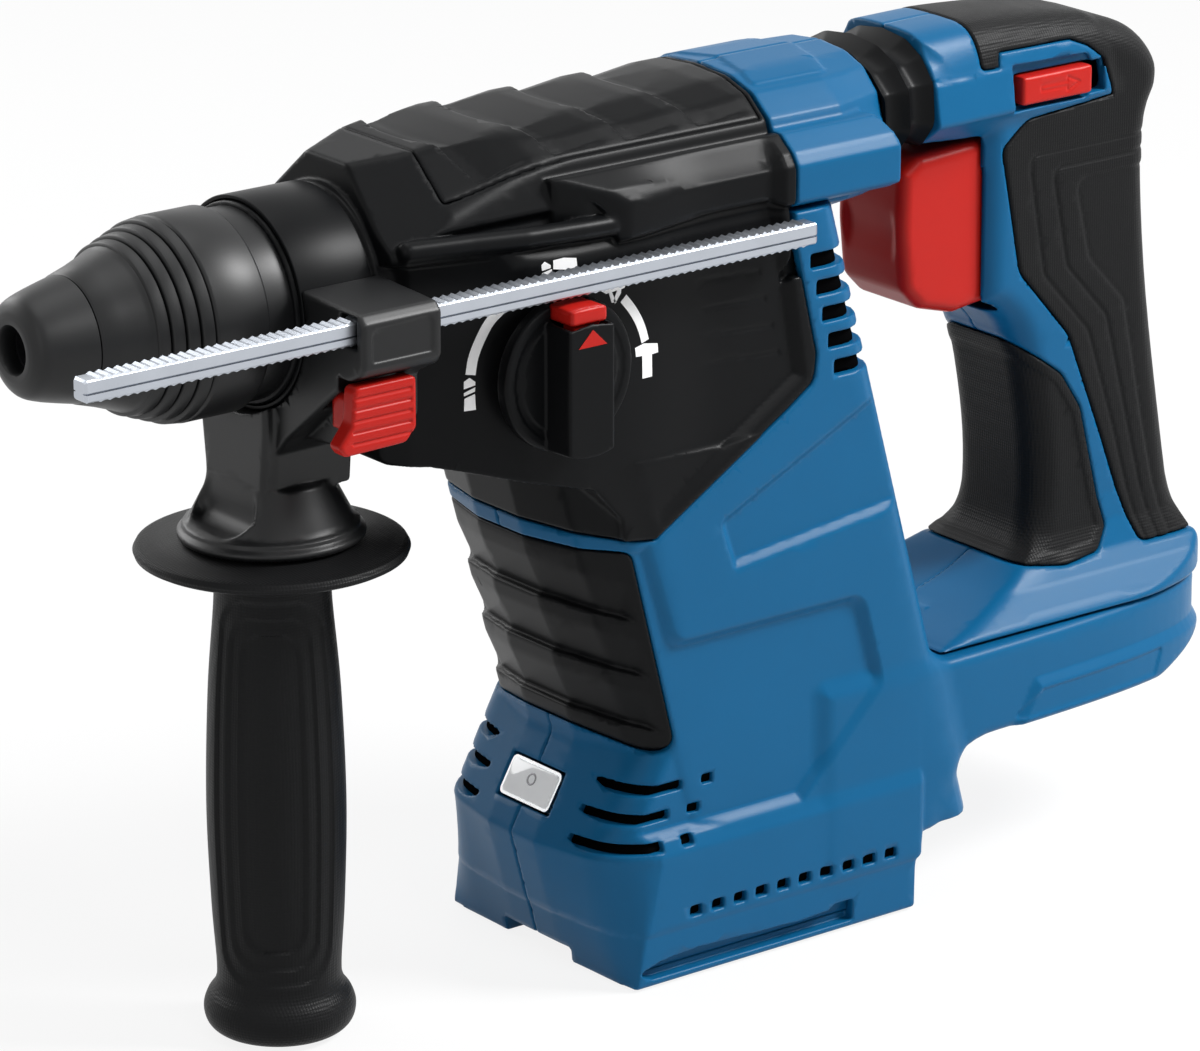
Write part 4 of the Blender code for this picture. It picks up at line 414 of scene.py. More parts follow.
class Wire:
    # one socket, with the sums that are used on it
    def __init__(self, graph, socket):
        self.graph = graph
        self.socket = socket

    def sum(self, operation, first, second):
        return self.graph.node("ShaderNodeMath", {"operation": operation}, {0: first, 1: second})

    def __add__(self, other):
        return self.sum("ADD", self, other)

    def __radd__(self, other):
        return self.sum("ADD", other, self)

    def __sub__(self, other):
        return self.sum("SUBTRACT", self, other)

    def __rsub__(self, other):
        return self.sum("SUBTRACT", other, self)

    def __mul__(self, other):
        return self.sum("MULTIPLY", self, other)

    def __rmul__(self, other):
        return self.sum("MULTIPLY", other, self)


class Graph:
    # one tree of nodes
    def __init__(self, tree):
        self.tree = tree

    def feed(self, socket, value):
        if isinstance(value, Wire):
            self.tree.links.new(value.socket, socket)
        else:
            socket.default_value = value

    def node(self, kind, settings=None, sockets=None, out=0):
        made = self.tree.nodes.new(kind)
        for key, value in (settings or {}).items():
            setattr(made, key, value)
        for key, value in (sockets or {}).items():
            self.feed(made.inputs[key], value)
        return Wire(self, made.outputs[out])


class Paint(Graph):
    # one material, with what its shader takes
    def __init__(self, name, **fixed):
        self.material = bpy.data.materials.new(name)
        self.material.use_nodes = True
        super().__init__(self.material.node_tree)
        self.shader = self.tree.nodes["Principled BSDF"]
        for key, value in fixed.items():
            self.set(key.replace("_", " "), value)

    def set(self, name, value):
        self.feed(self.shader.inputs[name], value)

    def place(self):
        return self.node("ShaderNodeTexCoord", out="Object")

    def noise(self, scale, detail=3.0, roughness=0.55):
        sockets = {"Vector": self.place(), "Scale": scale, "Detail": detail, "Roughness": roughness}
        return self.node("ShaderNodeTexNoise", None, sockets)

    def colour(self, share, first, second):
        # sockets 6 and 7 are the two colours, and output 2 is their blend
        sockets = {0: share, 6: first, 7: second}
        self.set("Base Color", self.node("ShaderNodeMix", {"data_type": "RGBA"}, sockets, 2))

    def bump(self, height, strength, distance):
        sockets = {"Height": height, "Strength": strength, "Distance": distance}
        self.set("Normal", self.node("ShaderNodeBump", None, sockets))


def grown(colour, factor):
    return tuple(min(c * factor, 1.0) for c in colour[:3]) + (1.0,)


def mouldedPlastic(name, colour, roughness, grain, strength, patchiness, **fixed):
    # injection moulded plastic: fine spark-eroded grain, with slow changes of tone and gloss
    paint = Paint(name, **fixed)
    patches = paint.noise(38.0, 4.0)
    fine = paint.noise(grain, 2.0, 0.6)
    paint.colour(patches, grown(colour, 1 - patchiness), grown(colour, 1 + patchiness))
    paint.set("Roughness", roughness - 0.05 + patches * 0.06 + fine * 0.06)
    paint.bump(fine, strength, 0.00012)
    return paint.material


def pimpledRubber(name, colour, roughness, pitch, **fixed):
    # soft grip rubber: rows of small pimples over a dull skin
    paint = Paint(name, **fixed)
    sockets = {"Vector": paint.place(), "Scale": 1.0 / (pitch * millimetre), "Randomness": 0.12}
    cells = paint.node("ShaderNodeTexVoronoi", {"feature": "F1"}, sockets)
    patches = paint.noise(60.0, 4.0)
    pimple = 1.0 - cells * 1.5
    paint.colour(patches, grown(colour, 0.85), grown(colour, 1.25))
    paint.set("Roughness", roughness + patches * 0.10 - pimple * 0.06)
    paint.bump(pimple, 0.35, 0.00025)
    return paint.material


def brushedMetal(name, colour, roughness, streak=(2600.0, 120.0, 120.0)):
    paint = Paint(name, Metallic=1.0)
    stretched = paint.node("ShaderNodeMapping", None, {"Vector": paint.place(), "Scale": streak})
    lines = paint.node("ShaderNodeTexNoise", None, {"Vector": stretched, "Scale": 1.0, "Detail": 3.0})
    patches = paint.noise(90.0, 4.0)
    paint.colour(patches, grown(colour, 0.9), grown(colour, 1.08))
    paint.set("Roughness", roughness - 0.06 + lines * 0.12 + patches * 0.04)
    paint.bump(lines, 0.06, 0.0001)
    return paint.material


def printedMark(name, colour):
    paint = Paint(name)
    wear = paint.noise(900.0, 3.0)
    paint.colour(wear, grown(colour, 0.94), grown(colour, 1.0))
    paint.set("Roughness", 0.42 + wear * 0.12)
    return paint.material


def clearPlastic(name):
    paint = Paint(name, Roughness=0.08, Coat_Weight=0.6)
    paint.colour(paint.noise(120.0, 2.0), (0.84, 0.86, 0.88, 1.0), (0.93, 0.94, 0.95, 1.0))
    return paint.material


blueTone = (0.0030, 0.091, 0.214)
blackTone = (0.0047, 0.0050, 0.0055)
rubberTone = (0.0068, 0.0070, 0.0074)
redTone = (0.42, 0.012, 0.008)
blueShell = mouldedPlastic("blueShell", blueTone, 0.34, 3800.0, 0.24, 0.05, Specular_IOR_Level=0.13)
blackShell = mouldedPlastic("blackShell", blackTone, 0.34, 4200.0, 0.14, 0.12, Specular_IOR_Level=0.08)
blackSmooth = mouldedPlastic("blackSmooth", blackTone, 0.40, 5200.0, 0.08, 0.10, Specular_IOR_Level=0.32)
bumperRubber = mouldedPlastic("bumperRubber", blackTone, 0.36, 4600.0, 0.14, 0.12, Specular_IOR_Level=0.10)
gripRubber = pimpledRubber("gripRubber", rubberTone, 0.42, 0.75, Specular_IOR_Level=0.10)
redPlastic = mouldedPlastic("redPlastic", redTone, 0.34, 4200.0, 0.10, 0.05, Specular_IOR_Level=0.14)
rodSteel = brushedMetal("rodSteel", (0.48, 0.51, 0.56), 0.36)
plainSteel = brushedMetal("plainSteel", (0.56, 0.57, 0.58), 0.26, (300.0, 300.0, 300.0))
darkSteel = brushedMetal("darkSteel", (0.16, 0.16, 0.17), 0.36, (400.0, 400.0, 400.0))
castAluminium = brushedMetal("castAluminium", (0.52, 0.53, 0.54), 0.48, (700.0, 700.0, 700.0))
copperWire = brushedMetal("copperWire", (0.62, 0.25, 0.10), 0.35, (200.0, 200.0, 3000.0))
boardGreen = mouldedPlastic("boardGreen", (0.015, 0.10, 0.04), 0.35, 900.0, 0.15, 0.25)
# flat black without reflection: painted shade on the sheets behind the vents, and also the own colour of the
# slider core
ventBlack = mouldedPlastic("ventBlack", (0.002, 0.002, 0.0022), 0.7, 2000.0, 0.1, 0.2, Specular_IOR_Level=0.0)
whitePrint = printedMark("whitePrint", (0.95, 0.95, 0.95))
clearLens = clearPlastic("lensFinish")
print("finishes made:", len(bpy.data.materials))

# motor casing, two blue halves that stop short of the middle plane

halfGap = 0.04
columnSizes = {
    "lean": 0.28,
    "aboutZ": -66.7,
    "front": 131.0,
    "rear": 228.0,
    "levels": (-160, 6),
    "halfWidth": 36.6,
    "panelDepth": 2.2,
    "upperDepth": 2.0,
    "bevel": 2.5,
    "wall": 3.0,
    "bumperSeat": 3.2,
    "seam": 0.2,
}
columnHalf = [(131.0, 9.0, 1.5), (135.3, 25.5, 8), (142.6, 34.6, 8), (151.5, 36.6, 6), (228.0, 36.6, 9)]
columnPlan = rounded(columnHalf + flipped(columnHalf, 1))
borderBelow = rounded(
    [(90, -60.0), (129.0, -64.0), (150.6, -66.9), (151.6, -66.0), (190.5, -42.5, 3), (198.8, -36.9, 5)]
    + [(199.6, -30, 3), (192.2, 0.5), (191.7, 60), (420, 60), (420, -260), (90, -260)]
)
bumperBand = rounded([(100, -69.2), (144.6, -69.2, 3), (159.6, -125.6, 3.5), (142, -117.5), (100, -117.5)])
recessUpper = rounded([(169.5, -66.2, 3), (174.3, -79.8, 1.5), (245, -72.0), (245, -28), (214.5, -45.0, 3)])
recessLower = rounded(
    [(100, -67.2), (149.2, -67.2), (157.6, -93.5, 4), (215.5, -93.5, 6), (222.5, -118, 5)]
    + [(196.5, -143.8, 1.5), (100, -143.8)]
)


def columnForm(block):
    return block.leaningPlan(columnPlan, columnSizes["lean"], columnSizes["aboutZ"])


# screws that hold the halves together, driven from the right
screwSizes = {
    "boss": 5.4,
    "rise": 0.7,
    "root": 1.5,
    "well": 4.0,
    "depth": 2.2,
    "head": 3.4,
    "thick": 1.5,
    "socket": 1.5,
    "socketDepth": 0.9,
    "lobe": 0.28,
}
screwPlaces = {
    "casing": [(176, -87.0), (226, -84.0), (227.0, -136.0), (158, -153.5), (224, -155.0)],
    "rear_handle": [(261, 18.0), (283.5, -39.5), (314.5, -104.5)],
}
screwSeats = {}


def bossed(block, shape, form, body):
    # a raised ring and a well for each screw of the body
    size = screwSizes
    places = screwPlaces[body]
    seats = np.array(places, float)
    levels = surfaceAt(block, block.filled(form), seats[:, 0], seats[:, 1])
    screwSeats[body] = [(x, -y, z) for (x, z), y in zip(places, levels)]
    for middleX, middleZ in places:
        away = np.hypot(block.x - middleX, block.z - middleZ)
        ring = meet(meet(away - size["boss"], form - size["rise"], 0.6), -(form + size["root"]))
        shape = merge(shape, ring, 0.4)
        shape = without(shape, meet(away - size["well"], -(form + size["depth"])), 0.3)
    return shape


skirtSizes = {
    "flat": 9.0,
    "facet": 0.20,
    "cornerFrom": 22.0,
    "cornerWide": 16.0,
    "cornerDepth": 10.5,
    "cornerPower": 3.2,
    "squareShare": 0.08,
    "squareLevels": (-180.5, -149),
    "halfWidth": 36.2,
    "flare": 1.8,
    "flareDepths": (143.0, 147.2),
    "taper": 0.5,
    "taperDepths": (150, 180),
    "rear": 234.2,
    "rearStep": 0.9,
    "stepDepths": (166.4, 167.4),
    "lip": 0.35,
    "lipDepths": (166.7, 167.3),
}
skirtSide = rounded(
    [(149.5, -120), (134.3, -147.6, 1.2), (142.0, -176.5, 2), (142.9, -180.5), (250, -180.5), (250, -120)]
)


def skirtForm(block, lowered):
    # the front falls back from its middle: flat, then a facet, then the round corner
    size = skirtSizes
    z, across = block.z, -block.y
    facet = np.maximum(across - size["flat"], 0) * size["facet"]
    corner = np.clip((across - size["cornerFrom"]) / size["cornerWide"], 0, 1)
    share = size["squareShare"] + (1 - size["squareShare"]) * ramp(z, *size["squareLevels"])
    shift = (facet + size["cornerDepth"] * corner ** size["cornerPower"]) * share
    half = size["halfWidth"] + size["flare"] * ramp(-z, *size["flareDepths"])
    half = half - size["taper"] * ramp(-z, *size["taperDepths"]) - lowered
    skirt = meet(block.shiftedSide(skirtSide, shift), across - half, 0.9)
    skirt = meet(skirt, block.x - size["rear"] + size["rearStep"] * ramp(-z, *size["stepDepths"]), 1.2)
    return skirt + size["lip"] * ramp(-z, *size["lipDepths"])


footSizes = {"bandStep": 1.5, "bandFade": 2.6, "panelDepth": 0.5, "edge": 2.2}
footArc = {"centre": (261, -165), "radius": 23.5, "degrees": range(96, 170, 8)}
footSide = rounded(
    [(205, -118.5), (352, -118.5), (350.5, -126, 4), (345, -134.5, 8), (322, -141.5, 14), (262, -141.5, 4)]
    + [
        tuple(footArc["centre"] + footArc["radius"] * np.array((math.cos(a), math.sin(a))))
        for a in map(math.radians, footArc["degrees"])
    ]
    + [(236.5, -160.5), (234.4, -163.5), (234.4, -166), (205, -166)]
)
footPlan = flowing(
    [(200, 36.5), (245, 36.3), (285, 34.6), (312, 32), (330, 27.8), (341, 22), (347.5, 14), (350, 5)]
)
footPlan = np.concatenate([footPlan, footPlan[::-1] * (1, -1)])
footBand = rounded([(262, -150), (274.5, -129.6, 2), (420, -129.6), (420, -150)])
footPanel = rounded([(266, -139.6, 1), (276.5, -132.6, 1), (322, -132.6, 1), (319, -139.6, 1)])


def footForm(block):
    size = footSizes
    half = block.plan(footPlan) + size["bandStep"] * ramp(block.side(footBand), -size["bandFade"], 0)
    half = half + size["panelDepth"] * ramp(-block.side(footPanel), 0, size["panelDepth"])
    return meet(block.side(footSide), half, size["edge"])


crownSizes = {
    "span": (192, 229.7),
    "narrowing": 0.17,
    "narrowFrom": 214,
    "ledgeFrom": 192.2,
    "padSpan": (197.5, 221.0),
    "padSkew": 0.22,
    "padHalf": 18.0,
    "padRise": 0.55,
    "padLow": 26,
}
crownHalf = rounded(
    [(-10, 0), (-10, 35.8), (0, 35.8), (12, 34.8, 8), (20, 32.2, 4), (26.3, 26.9, 0.7), (26.9, 25.6, 0.5)]
    + [(29.6, 19, 2), (29.8, 4.5), (20, 0)]
)
ledgeSection = rounded(
    [(-20, 24.6), (-30.5, 24.2, 1), (-35.2, 20.4, 1.5), (-37.2, 17.4, 1.2), (-37.2, 8.6, 1.2)]
    + [(-34, 6.8, 1), (-20, 6.8)]
)
ledgePlan = rounded([(124, -28), (124.5, -30.2), (141.8, -37.3, 0.8), (141.8, -45), (300, -45), (300, -28)])
ledgePlanEnd = rounded([(100, -20), (100, -45), (224.6, -45), (224.6, -36, 1), (221, -27), (221, -20)])


def crownForm(block):
    # the cap behind the roof, with the end of the side ledge and a raised pad on top
    size = crownSizes
    x, across = block.x, -block.y
    narrowing = 1 - size["narrowing"] * ramp(x, size["narrowFrom"], size["span"][1])
    crown = meet(block.widenedSection(crownHalf, narrowing), slab(x, *size["span"]), 0.5)
    ledge = meet(block.section(ledgeSection), block.plan(ledgePlanEnd), 0.8)
    crown = merge(crown, meet(ledge, size["ledgeFrom"] - x), 0.8)
    pad = meet(slab(x + size["padSkew"] * across, *size["padSpan"]), across - size["padHalf"], 2)
    return crown - size["padRise"] * ramp(-pad, -0.2, 0.7) * (block.z > size["padLow"])


lensSizes = {
    "centre": (140.75, 0.0, -136.7),
    "slope": math.atan2(13.3, 22.6),
    "long": 10.2,
    "wide": 19.2,
    "deep": 3.0,
    "room": 0.6,
    "roomDepth": 4.0,
}


def lensRoom(block):
    size = lensSizes
    x, z = block.x - size["centre"][0], block.z - size["centre"][2]
    along = x * math.sin(size["slope"]) + z * math.cos(size["slope"])
    into = x * math.cos(size["slope"]) - z * math.sin(size["slope"])
    ends = np.abs(along) - (size["long"] / 2 + size["room"])
    sides = -block.y - (size["wide"] / 2 + size["room"])
    return np.maximum(np.maximum(ends, sides), into - size["roomDepth"])


rowVents = {"count": 10, "first": 162.4, "last": 223.9, "level": -163.4, "half": (1.9, 1.35), "inner": 30}
frontVents = {
    "count": 3,
    "level": -131.5,
    "drop": 6.7,
    "start": 146.0,
    "back": 4.0,
    "long": 14.6,
    "half": 1.25,
    "inner": 18,
    "squareAt": 22.0,
    "squareHalf": 1.75,
}
rearVents = {"count": 5, "level": -7.0, "drop": 6.9, "half": 1.95, "ends": (-14.0, 9.0), "inner": 27.5}


def ventHoles(block):
    x, z, across = block.x, block.z, -block.y
    size = rowVents
    pitch = (size["last"] - size["first"]) / (size["count"] - 1)
    for index in range(size["count"]):
        wide = np.abs(x - (size["first"] + pitch * index)) - size["half"][0]
        hole = meet(wide, np.abs(z - size["level"]) - size["half"][1], 0.3)
        yield meet(hole, size["inner"] - across)
    size = frontVents
    for index in range(size["count"]):
        lane = np.abs(z - (size["level"] - size["drop"] * index)) - size["half"]
        start = size["start"] - size["back"] * index
        yield meet(meet(lane, slab(x, start, start + size["long"]), 0.5), size["inner"] - across)
        square = meet(lane, np.abs(x - start - size["squareAt"]) - size["squareHalf"], 0.3)
        yield meet(square, rowVents["inner"] - across)
    size = rearVents
    for index in range(size["count"]):
        level = size["level"] - size["drop"] * index
        rear = columnSizes["rear"] + (columnSizes["aboutZ"] - level) * columnSizes["lean"]
        span = slab(x, rear + size["ends"][0], rear + size["ends"][1])
        yield meet(meet(np.abs(z - level) - size["half"], span, 0.4), size["inner"] - across)


# under the skirt: battery well, rail, latch notch and the long pocket over the rail
wellSizes = {"span": (149.0, 260), "half": 31.5, "top": -165.8}
railSizes = {"span": (146.5, 232), "across": (27.5, 34), "levels": (-177, -173)}
notchSizes = {"span": (120, 150), "across": (-13, 1.2), "top": -176.2}
pocketInner = 34.2
pocketSide = rounded(
    [(144.5, -176.4, 0.8), (149.5, -178.4, 0.5), (212.5, -178.6, 0.8), (212.5, -172.9, 0.8)]
    + [(206.5, -172.9, 0.8), (204.5, -174.4, 1), (194.8, -174.7, 1), (163.2, -173.4, 2), (152, -174.2, 1)]
)
# spread, depth and gap of the black sheets of painted shade behind the vents
shadeSheetSizes = {"spread": 0.5, "from": 1.8, "to": 4.2, "gap": 0.12}


def buildCasing():
    size = columnSizes
    block = Block((127, -39.6, -182.4), (352, 0.6, 38))
    x, y, z, across = block.x, block.y, block.z, -block.y
    lowered = ramp(-block.side(recessLower), 0, size["bevel"]) * size["panelDepth"]
    lowered = lowered + ramp(-block.side(recessUpper), 0, size["bevel"]) * size["upperDepth"]
    column = meet(columnForm(block), slab(z, *size["levels"]), 0.8)
    column = meet(column, across - (size["halfWidth"] - lowered), 0.6)
    form = merge(merge(column, skirtForm(block, lowered), 0.8), footForm(block), 5.0)
    form = merge(form, crownForm(block), 0.6)
    shape = meet(form, block.side(borderBelow) + size["seam"], 0.5)

    # seat of the bumper, lens pocket, hollow, underside
    seat = meet(block.side(bumperBand) - 0.25, -(column + size["bumperSeat"]))
    shape = without(shape, seat, 0.4)
    shape = without(shape, lensRoom(block), 0.35)
    behindSeat = meet(column + size["bumperSeat"] + size["wall"], slab(z, -150, 0))
    shape = without(shape, merge(form + size["wall"], behindSeat))
    well = meet(slab(x, *wellSizes["span"]), across - wellSizes["half"])
    shape = without(shape, meet(well, z - wellSizes["top"]), 0.3)
    rail = meet(slab(x, *railSizes["span"]), slab(across, *railSizes["across"]), 0.4)
    shape = merge(shape, meet(rail, slab(z, *railSizes["levels"]), 0.4))
    notch = meet(slab(x, *notchSizes["span"]), slab(y, *notchSizes["across"]))
    shape = without(shape, meet(notch, z - notchSizes["top"]), 0.4)

    # openings for air, with a flat black sheet of painted shade behind each, standing in for the dark inside
    vents = functools.reduce(merge, ventHoles(block))
    shape = without(shape, vents, 0.25)
    # a black layer just inside each vent: painted shade where one looks into the casing
    shadeSheets = meet(meet(vents - shadeSheetSizes["spread"], form + shadeSheetSizes["from"]), -(form + shadeSheetSizes["to"]))
    shape = without(shape, meet(block.side(pocketSide), pocketInner - across), 0.25)
    shape = meet(shape, y + halfGap)
    left = moulded("casing_left", block, shape, blueShell)
    right = moulded("casing_right", block, bossed(block, shape, form, "casing"), blueShell, True)
    settle(left, "casing", "blue_casing", "motor_casing_left")
    settle(right, "casing", "blue_casing", "motor_casing_right")
    shadeSheets = meet(shadeSheets, y + shadeSheetSizes["gap"])
    for name, flip in (("vent_floor_left", False), ("vent_floor_right", True)):
        settle(moulded(name, block, shadeSheets, ventBlack, flip), "casing", "black_plastic")


bumperSizes = {
    "levels": (-82.6, -96.4, -110.2),
    "depth": 1.7,
    "crest": 9.0,
    "foot": 0.4,
    "lip": 0.9,
    "fade": (1.6, 3.2),
    "stand": 0.05,
    "thick": 3.0,
}


def buildBumper():
    # three shutters across the leaning front
    size = bumperSizes
    block = Block((127, -38, -130), (163, 38, -66))
    column, area = columnForm(block), block.side(bumperBand)
    along = block.z + columnSizes["lean"] * (block.x - columnSizes["front"])
    depth = 0.0
    for level in size["levels"]:
        over = ramp(along, level + size["crest"], level + size["foot"])
        under = ramp(along, level - size["lip"], level)
        depth = np.maximum(depth, np.where(along > level, over, under) * size["depth"])
    depth = depth * ramp(-area, *size["fade"])
    bumper = without(meet(column + size["stand"] + depth, area, 0.7), column + size["thick"])
    settle(moulded("bumper", block, bumper, bumperRubber), "casing", "black_rubber", "front_bumper")


buildCasing()
buildBumper()
print("casing done")

# gear housing and its louvred roof

housingSizes = {
    "neckRadius": 23.7,
    "neckSpan": (57, 92),
    "collarRadius": 24.6,
    "collarSpan": (79.2, 92),
    "boreRadius": 19.2,
    "boreSpan": (40, 110),
    "shoulderLevels": (8.8, 10.4),
    "columnLevels": (-80, -47),
    "cornerTilt": (0.656, 0.755),
    "cornerCut": ((79, 81, 97, 115, 140), (26.6, 27.6, 33.6, 36.2, 39.0)),
    "wall": 3.2,
    "extraWall": 2.0,
    "hollowFrom": 92,
    "bellyHalf": 28.0,
    "knobHole": 9.2,
}
eavesSizes = {
    "girth": ((80, 100, 114, 130), (28.4, 31.0, 33.4, 34.2)),
    "beadZ": 13.2,
    "beadFall": 0.03,
    "beadRadius": 2.6,
    "beadSpan": (82.0, 140),
    "lineOut": 1.6,
    "lineZ": 16.9,
    "lineRadius": 1.7,
    "lineSpan": (85, 140),
}
ledgeSizes = {"end": 191.8, "scoop": (129.0, 6.0), "scoopRadius": 10.5, "scoopInner": 33.5}
panelSizes = {
    "dish": 2.0,
    "step": 0.35,
    "fade": (140, 172),
    "ribs": 4,
    "ribLevel": -6.2,
    "ribDrop": 6.9,
    "ribSpan": (165.2, 183.6),
    "ribShift": (0.8, 2.0),
    "ribTilt": 0.06,
    "ribHalf": 0.9,
    "ribDepth": 0.6,
}
roofSizes = {
    "louvres": (100.5, 122.2, 143.6, 164.9),
    "depth": 1.5,
    "curve": 0.012,
    "halfWidth": 24.4,
    "low": 20,
    "span": (97.0, 190.0),
    "coverHalf": 25.6,
    "coverLow": 22.0,
    "seam": 0.45,
    "seamDepth": 0.35,
    "gap": 0.08,
    "thick": 2.6,
}
tongueSizes = {"layer": (3.3, 5.0), "reach": 4.0, "span": (160, 200)}
housingSide = rounded(
    [(81.5, -38.3, 2), (80.4, 16), (82.4, 30.2, 1.0), (104, 33.2, 12), (150, 34.8), (191.5, 35.8)]
    + [(191.5, -10), (215, -10), (215, -80), (144, -80), (140.5, -60, 4), (132.5, -51.0, 5)]
    + [(121, -47.8, 10), (111, -45.0, 10), (103, -42.6, 8), (97, -40.9, 6), (91, -39.3, 4)]
)
housingHalf = [(114, -35.0, 12), (130, -36.5, 8), (220, -36.5)]
housingHalf = [(80.6, -20.5, 1.2), (86.5, -26.0, 1.5), (100, -30.5, 8)] + housingHalf
housingPlan = rounded(housingHalf + flipped(housingHalf, 1))
shoulderHalf = [(100, -32.4, 8), (114, -35.3, 12), (130, -36.5, 8), (220, -36.5)]
shoulderHalf = [(80.2, -22.0, 1), (80.8, -27.0, 1.2), (83.6, -29.8, 1.5)] + shoulderHalf
shoulderPlan = rounded(shoulderHalf + flipped(shoulderHalf, 1))
sectionHalf = [(-12, 34.8, 10), (-20, 32.2, 5), (-26.3, 26.9, 0.8), (-29.9, 17.0, 0.5), (-28.4, 15.2, 1.2)]
sectionHalf += [(-29.4, 12.6, 1.5), (-32.6, 10.8, 4), (-35.6, 6.5, 5), (-36.5, 0, 6), (-36.5, -90)]
housingSection = rounded([(0, 35.8)] + sectionHalf + flipped(sectionHalf, 0))
panelOuter = rounded(
    [(90, 40), (189.5, 40), (189.5, 10), (197.4, -35.6, 3), (151.4, -64.6, 2), (146.6, -60, 2), (90, -60)]
)
scaleCentre = (121.5, -19.3)


def buildHousing():
    size = housingSizes
    block = Block((56, -38.4, -68.4), (200.4, 0.0, 37.2))
    x, z, across = block.x, block.z, -block.y
    border, section = block.side(borderBelow), block.section(housingSection)
    outer = block.plan(housingPlan)
    outer = outer + (block.plan(shoulderPlan) - outer) * ramp(z, *size["shoulderLevels"])
    body = meet(meet(block.side(housingSide), outer, 0.7), section, 0.7)
    tilted = size["cornerTilt"][0] * across + size["cornerTilt"][1] * z
    body = meet(body, tilted - np.interp(x, *size["cornerCut"]), 0.8)
    body = merge(body, meet(columnForm(block), slab(z, *size["columnLevels"])), 1.2)
    body = meet(body, columnSizes["seam"] - border, 0.5)

    # round moulding under the eaves, with a deep line above it
    eaves = eavesSizes
    girth = np.interp(x, *eaves["girth"])
    line = np.hypot(across - girth - eaves["lineOut"], z - eaves["lineZ"]) - eaves["lineRadius"]
    body = without(body, meet(line, slab(x, *eaves["lineSpan"])), 0.4)
    bead = np.hypot(across - girth, z - eaves["beadZ"] + eaves["beadFall"] * (x - 98)) - eaves["beadRadius"]
    body = merge(body, meet(bead, slab(x, *eaves["beadSpan"]), 2.0), 0.5)
    ledge = meet(block.section(ledgeSection), block.plan(ledgePlan), 0.7)
    scoop = np.hypot(x - ledgeSizes["scoop"][0], (z - ledgeSizes["scoop"][1]) * 0.8) - ledgeSizes["scoopRadius"]
    ledge = without(meet(ledge, x - ledgeSizes["end"]), meet(scoop, ledgeSizes["scoopInner"] - across), 0.6)
    body = merge(body, ledge, 0.8)
    radial = np.hypot(block.y, z)
    neck = meet(radial - size["neckRadius"], slab(x, *size["neckSpan"]), 0.6)
    collarStep = meet(radial - size["collarRadius"], slab(x, *size["collarSpan"]), 0.5)
    form = body = merge(merge(body, collarStep, 0.6), neck, 0.5)

    # dished side panel and its ribs
    panel = block.side(panelOuter)
    facing = ramp(across, 30, 34)
    dished = panelSizes["dish"] * ramp(-panel, 0.6, 3.2) + panelSizes["step"] * ramp(-panel, 3.2, 3.5)
    body = body + dished * facing * soft(x, *panelSizes["fade"])
    for index in range(panelSizes["ribs"]):
        level = panelSizes["ribLevel"] - panelSizes["ribDrop"] * index
        left, right = (a + b * index for a, b in zip(panelSizes["ribSpan"], panelSizes["ribShift"]))
        lane = np.abs(z - level + panelSizes["ribTilt"] * (x - left)) - panelSizes["ribHalf"]
        fade = ramp(x, left - 3, left + 6) * (x < right)
        body = body + panelSizes["ribDepth"] * ramp(-lane, 0, panelSizes["ribHalf"]) * fade * facing

    # roof louvres: each rises to a crest and drops behind it
    roof = roofSizes
    depth = 0.0
    for start in roof["louvres"]:
        bend = start + roof["curve"] * across**2
        depth = np.maximum(depth, ramp(x, bend, bend + 0.8) * (1 - ramp(x, bend + 4.2, bend + 17)))
    roofTop = (z > roof["low"]) & (x < roof["span"][1])
    body = body + roof["depth"] * depth * ramp(roof["halfWidth"] - across, 0, 0.9) * roofTop
    lid = np.maximum(slab(x, *roof["span"]), across - roof["coverHalf"])
    seam = np.abs(lid) - roof["seam"]
    body = body + roof["seamDepth"] * ramp(-seam, 0, roof["seam"]) * (z > roof["coverLow"])
    region, under = np.maximum(lid, roof["coverLow"] - z), -(form + roof["thick"])
    cover = np.maximum(np.maximum(body, region + roof["gap"]), under)
    body = without(body, np.maximum(region - roof["gap"], under))

    # bore, hollow, and a tongue that closes the seam from inside
    body = without(body, meet(radial - size["boreRadius"], slab(x, *size["boreSpan"])), 0.4)
    behind = size["hollowFrom"] - x
    hollow = meet(form + size["wall"] + size["extraWall"], behind)
    belly = meet(meet(form + size["wall"], behind), np.maximum(across - size["bellyHalf"], z))
    body = without(body, merge(hollow, belly))
    near, far = tongueSizes["layer"]
    tongue = meet(meet(section + near, -(section + far)), np.abs(border) - tongueSizes["reach"])
    body = merge(body, meet(tongue, slab(x, *tongueSizes["span"])))
    whole = Block((56, -38.4, -68.4), (200.4, 38.4, 37.2))
    knobHole = np.hypot(x - scaleCentre[0], z - scaleCentre[1]) - size["knobHole"]
    knobHole = meet(knobHole, slab(block.y, -60, -20))
    both = np.concatenate([without(body, knobHole, 0.4), body[:, -2::-1]], 1)
    whole.axes[1] = whole.axes[1][: both.shape[1]]
    settle(moulded("gear_housing_shell", whole, both, blackShell), "casing", "black_plastic", "gear_housing")
    both = np.concatenate([cover, cover[:, -2::-1]], 1)
    settle(moulded("roof_cover", whole, both, blackShell), "casing", "black_plastic", "gear_cover_top")
    print("gear housing done")
    return block, body


housingBlock, housingField = buildHousing()

# rear handle: two blue halves, rubber back and front, trigger and direction slider

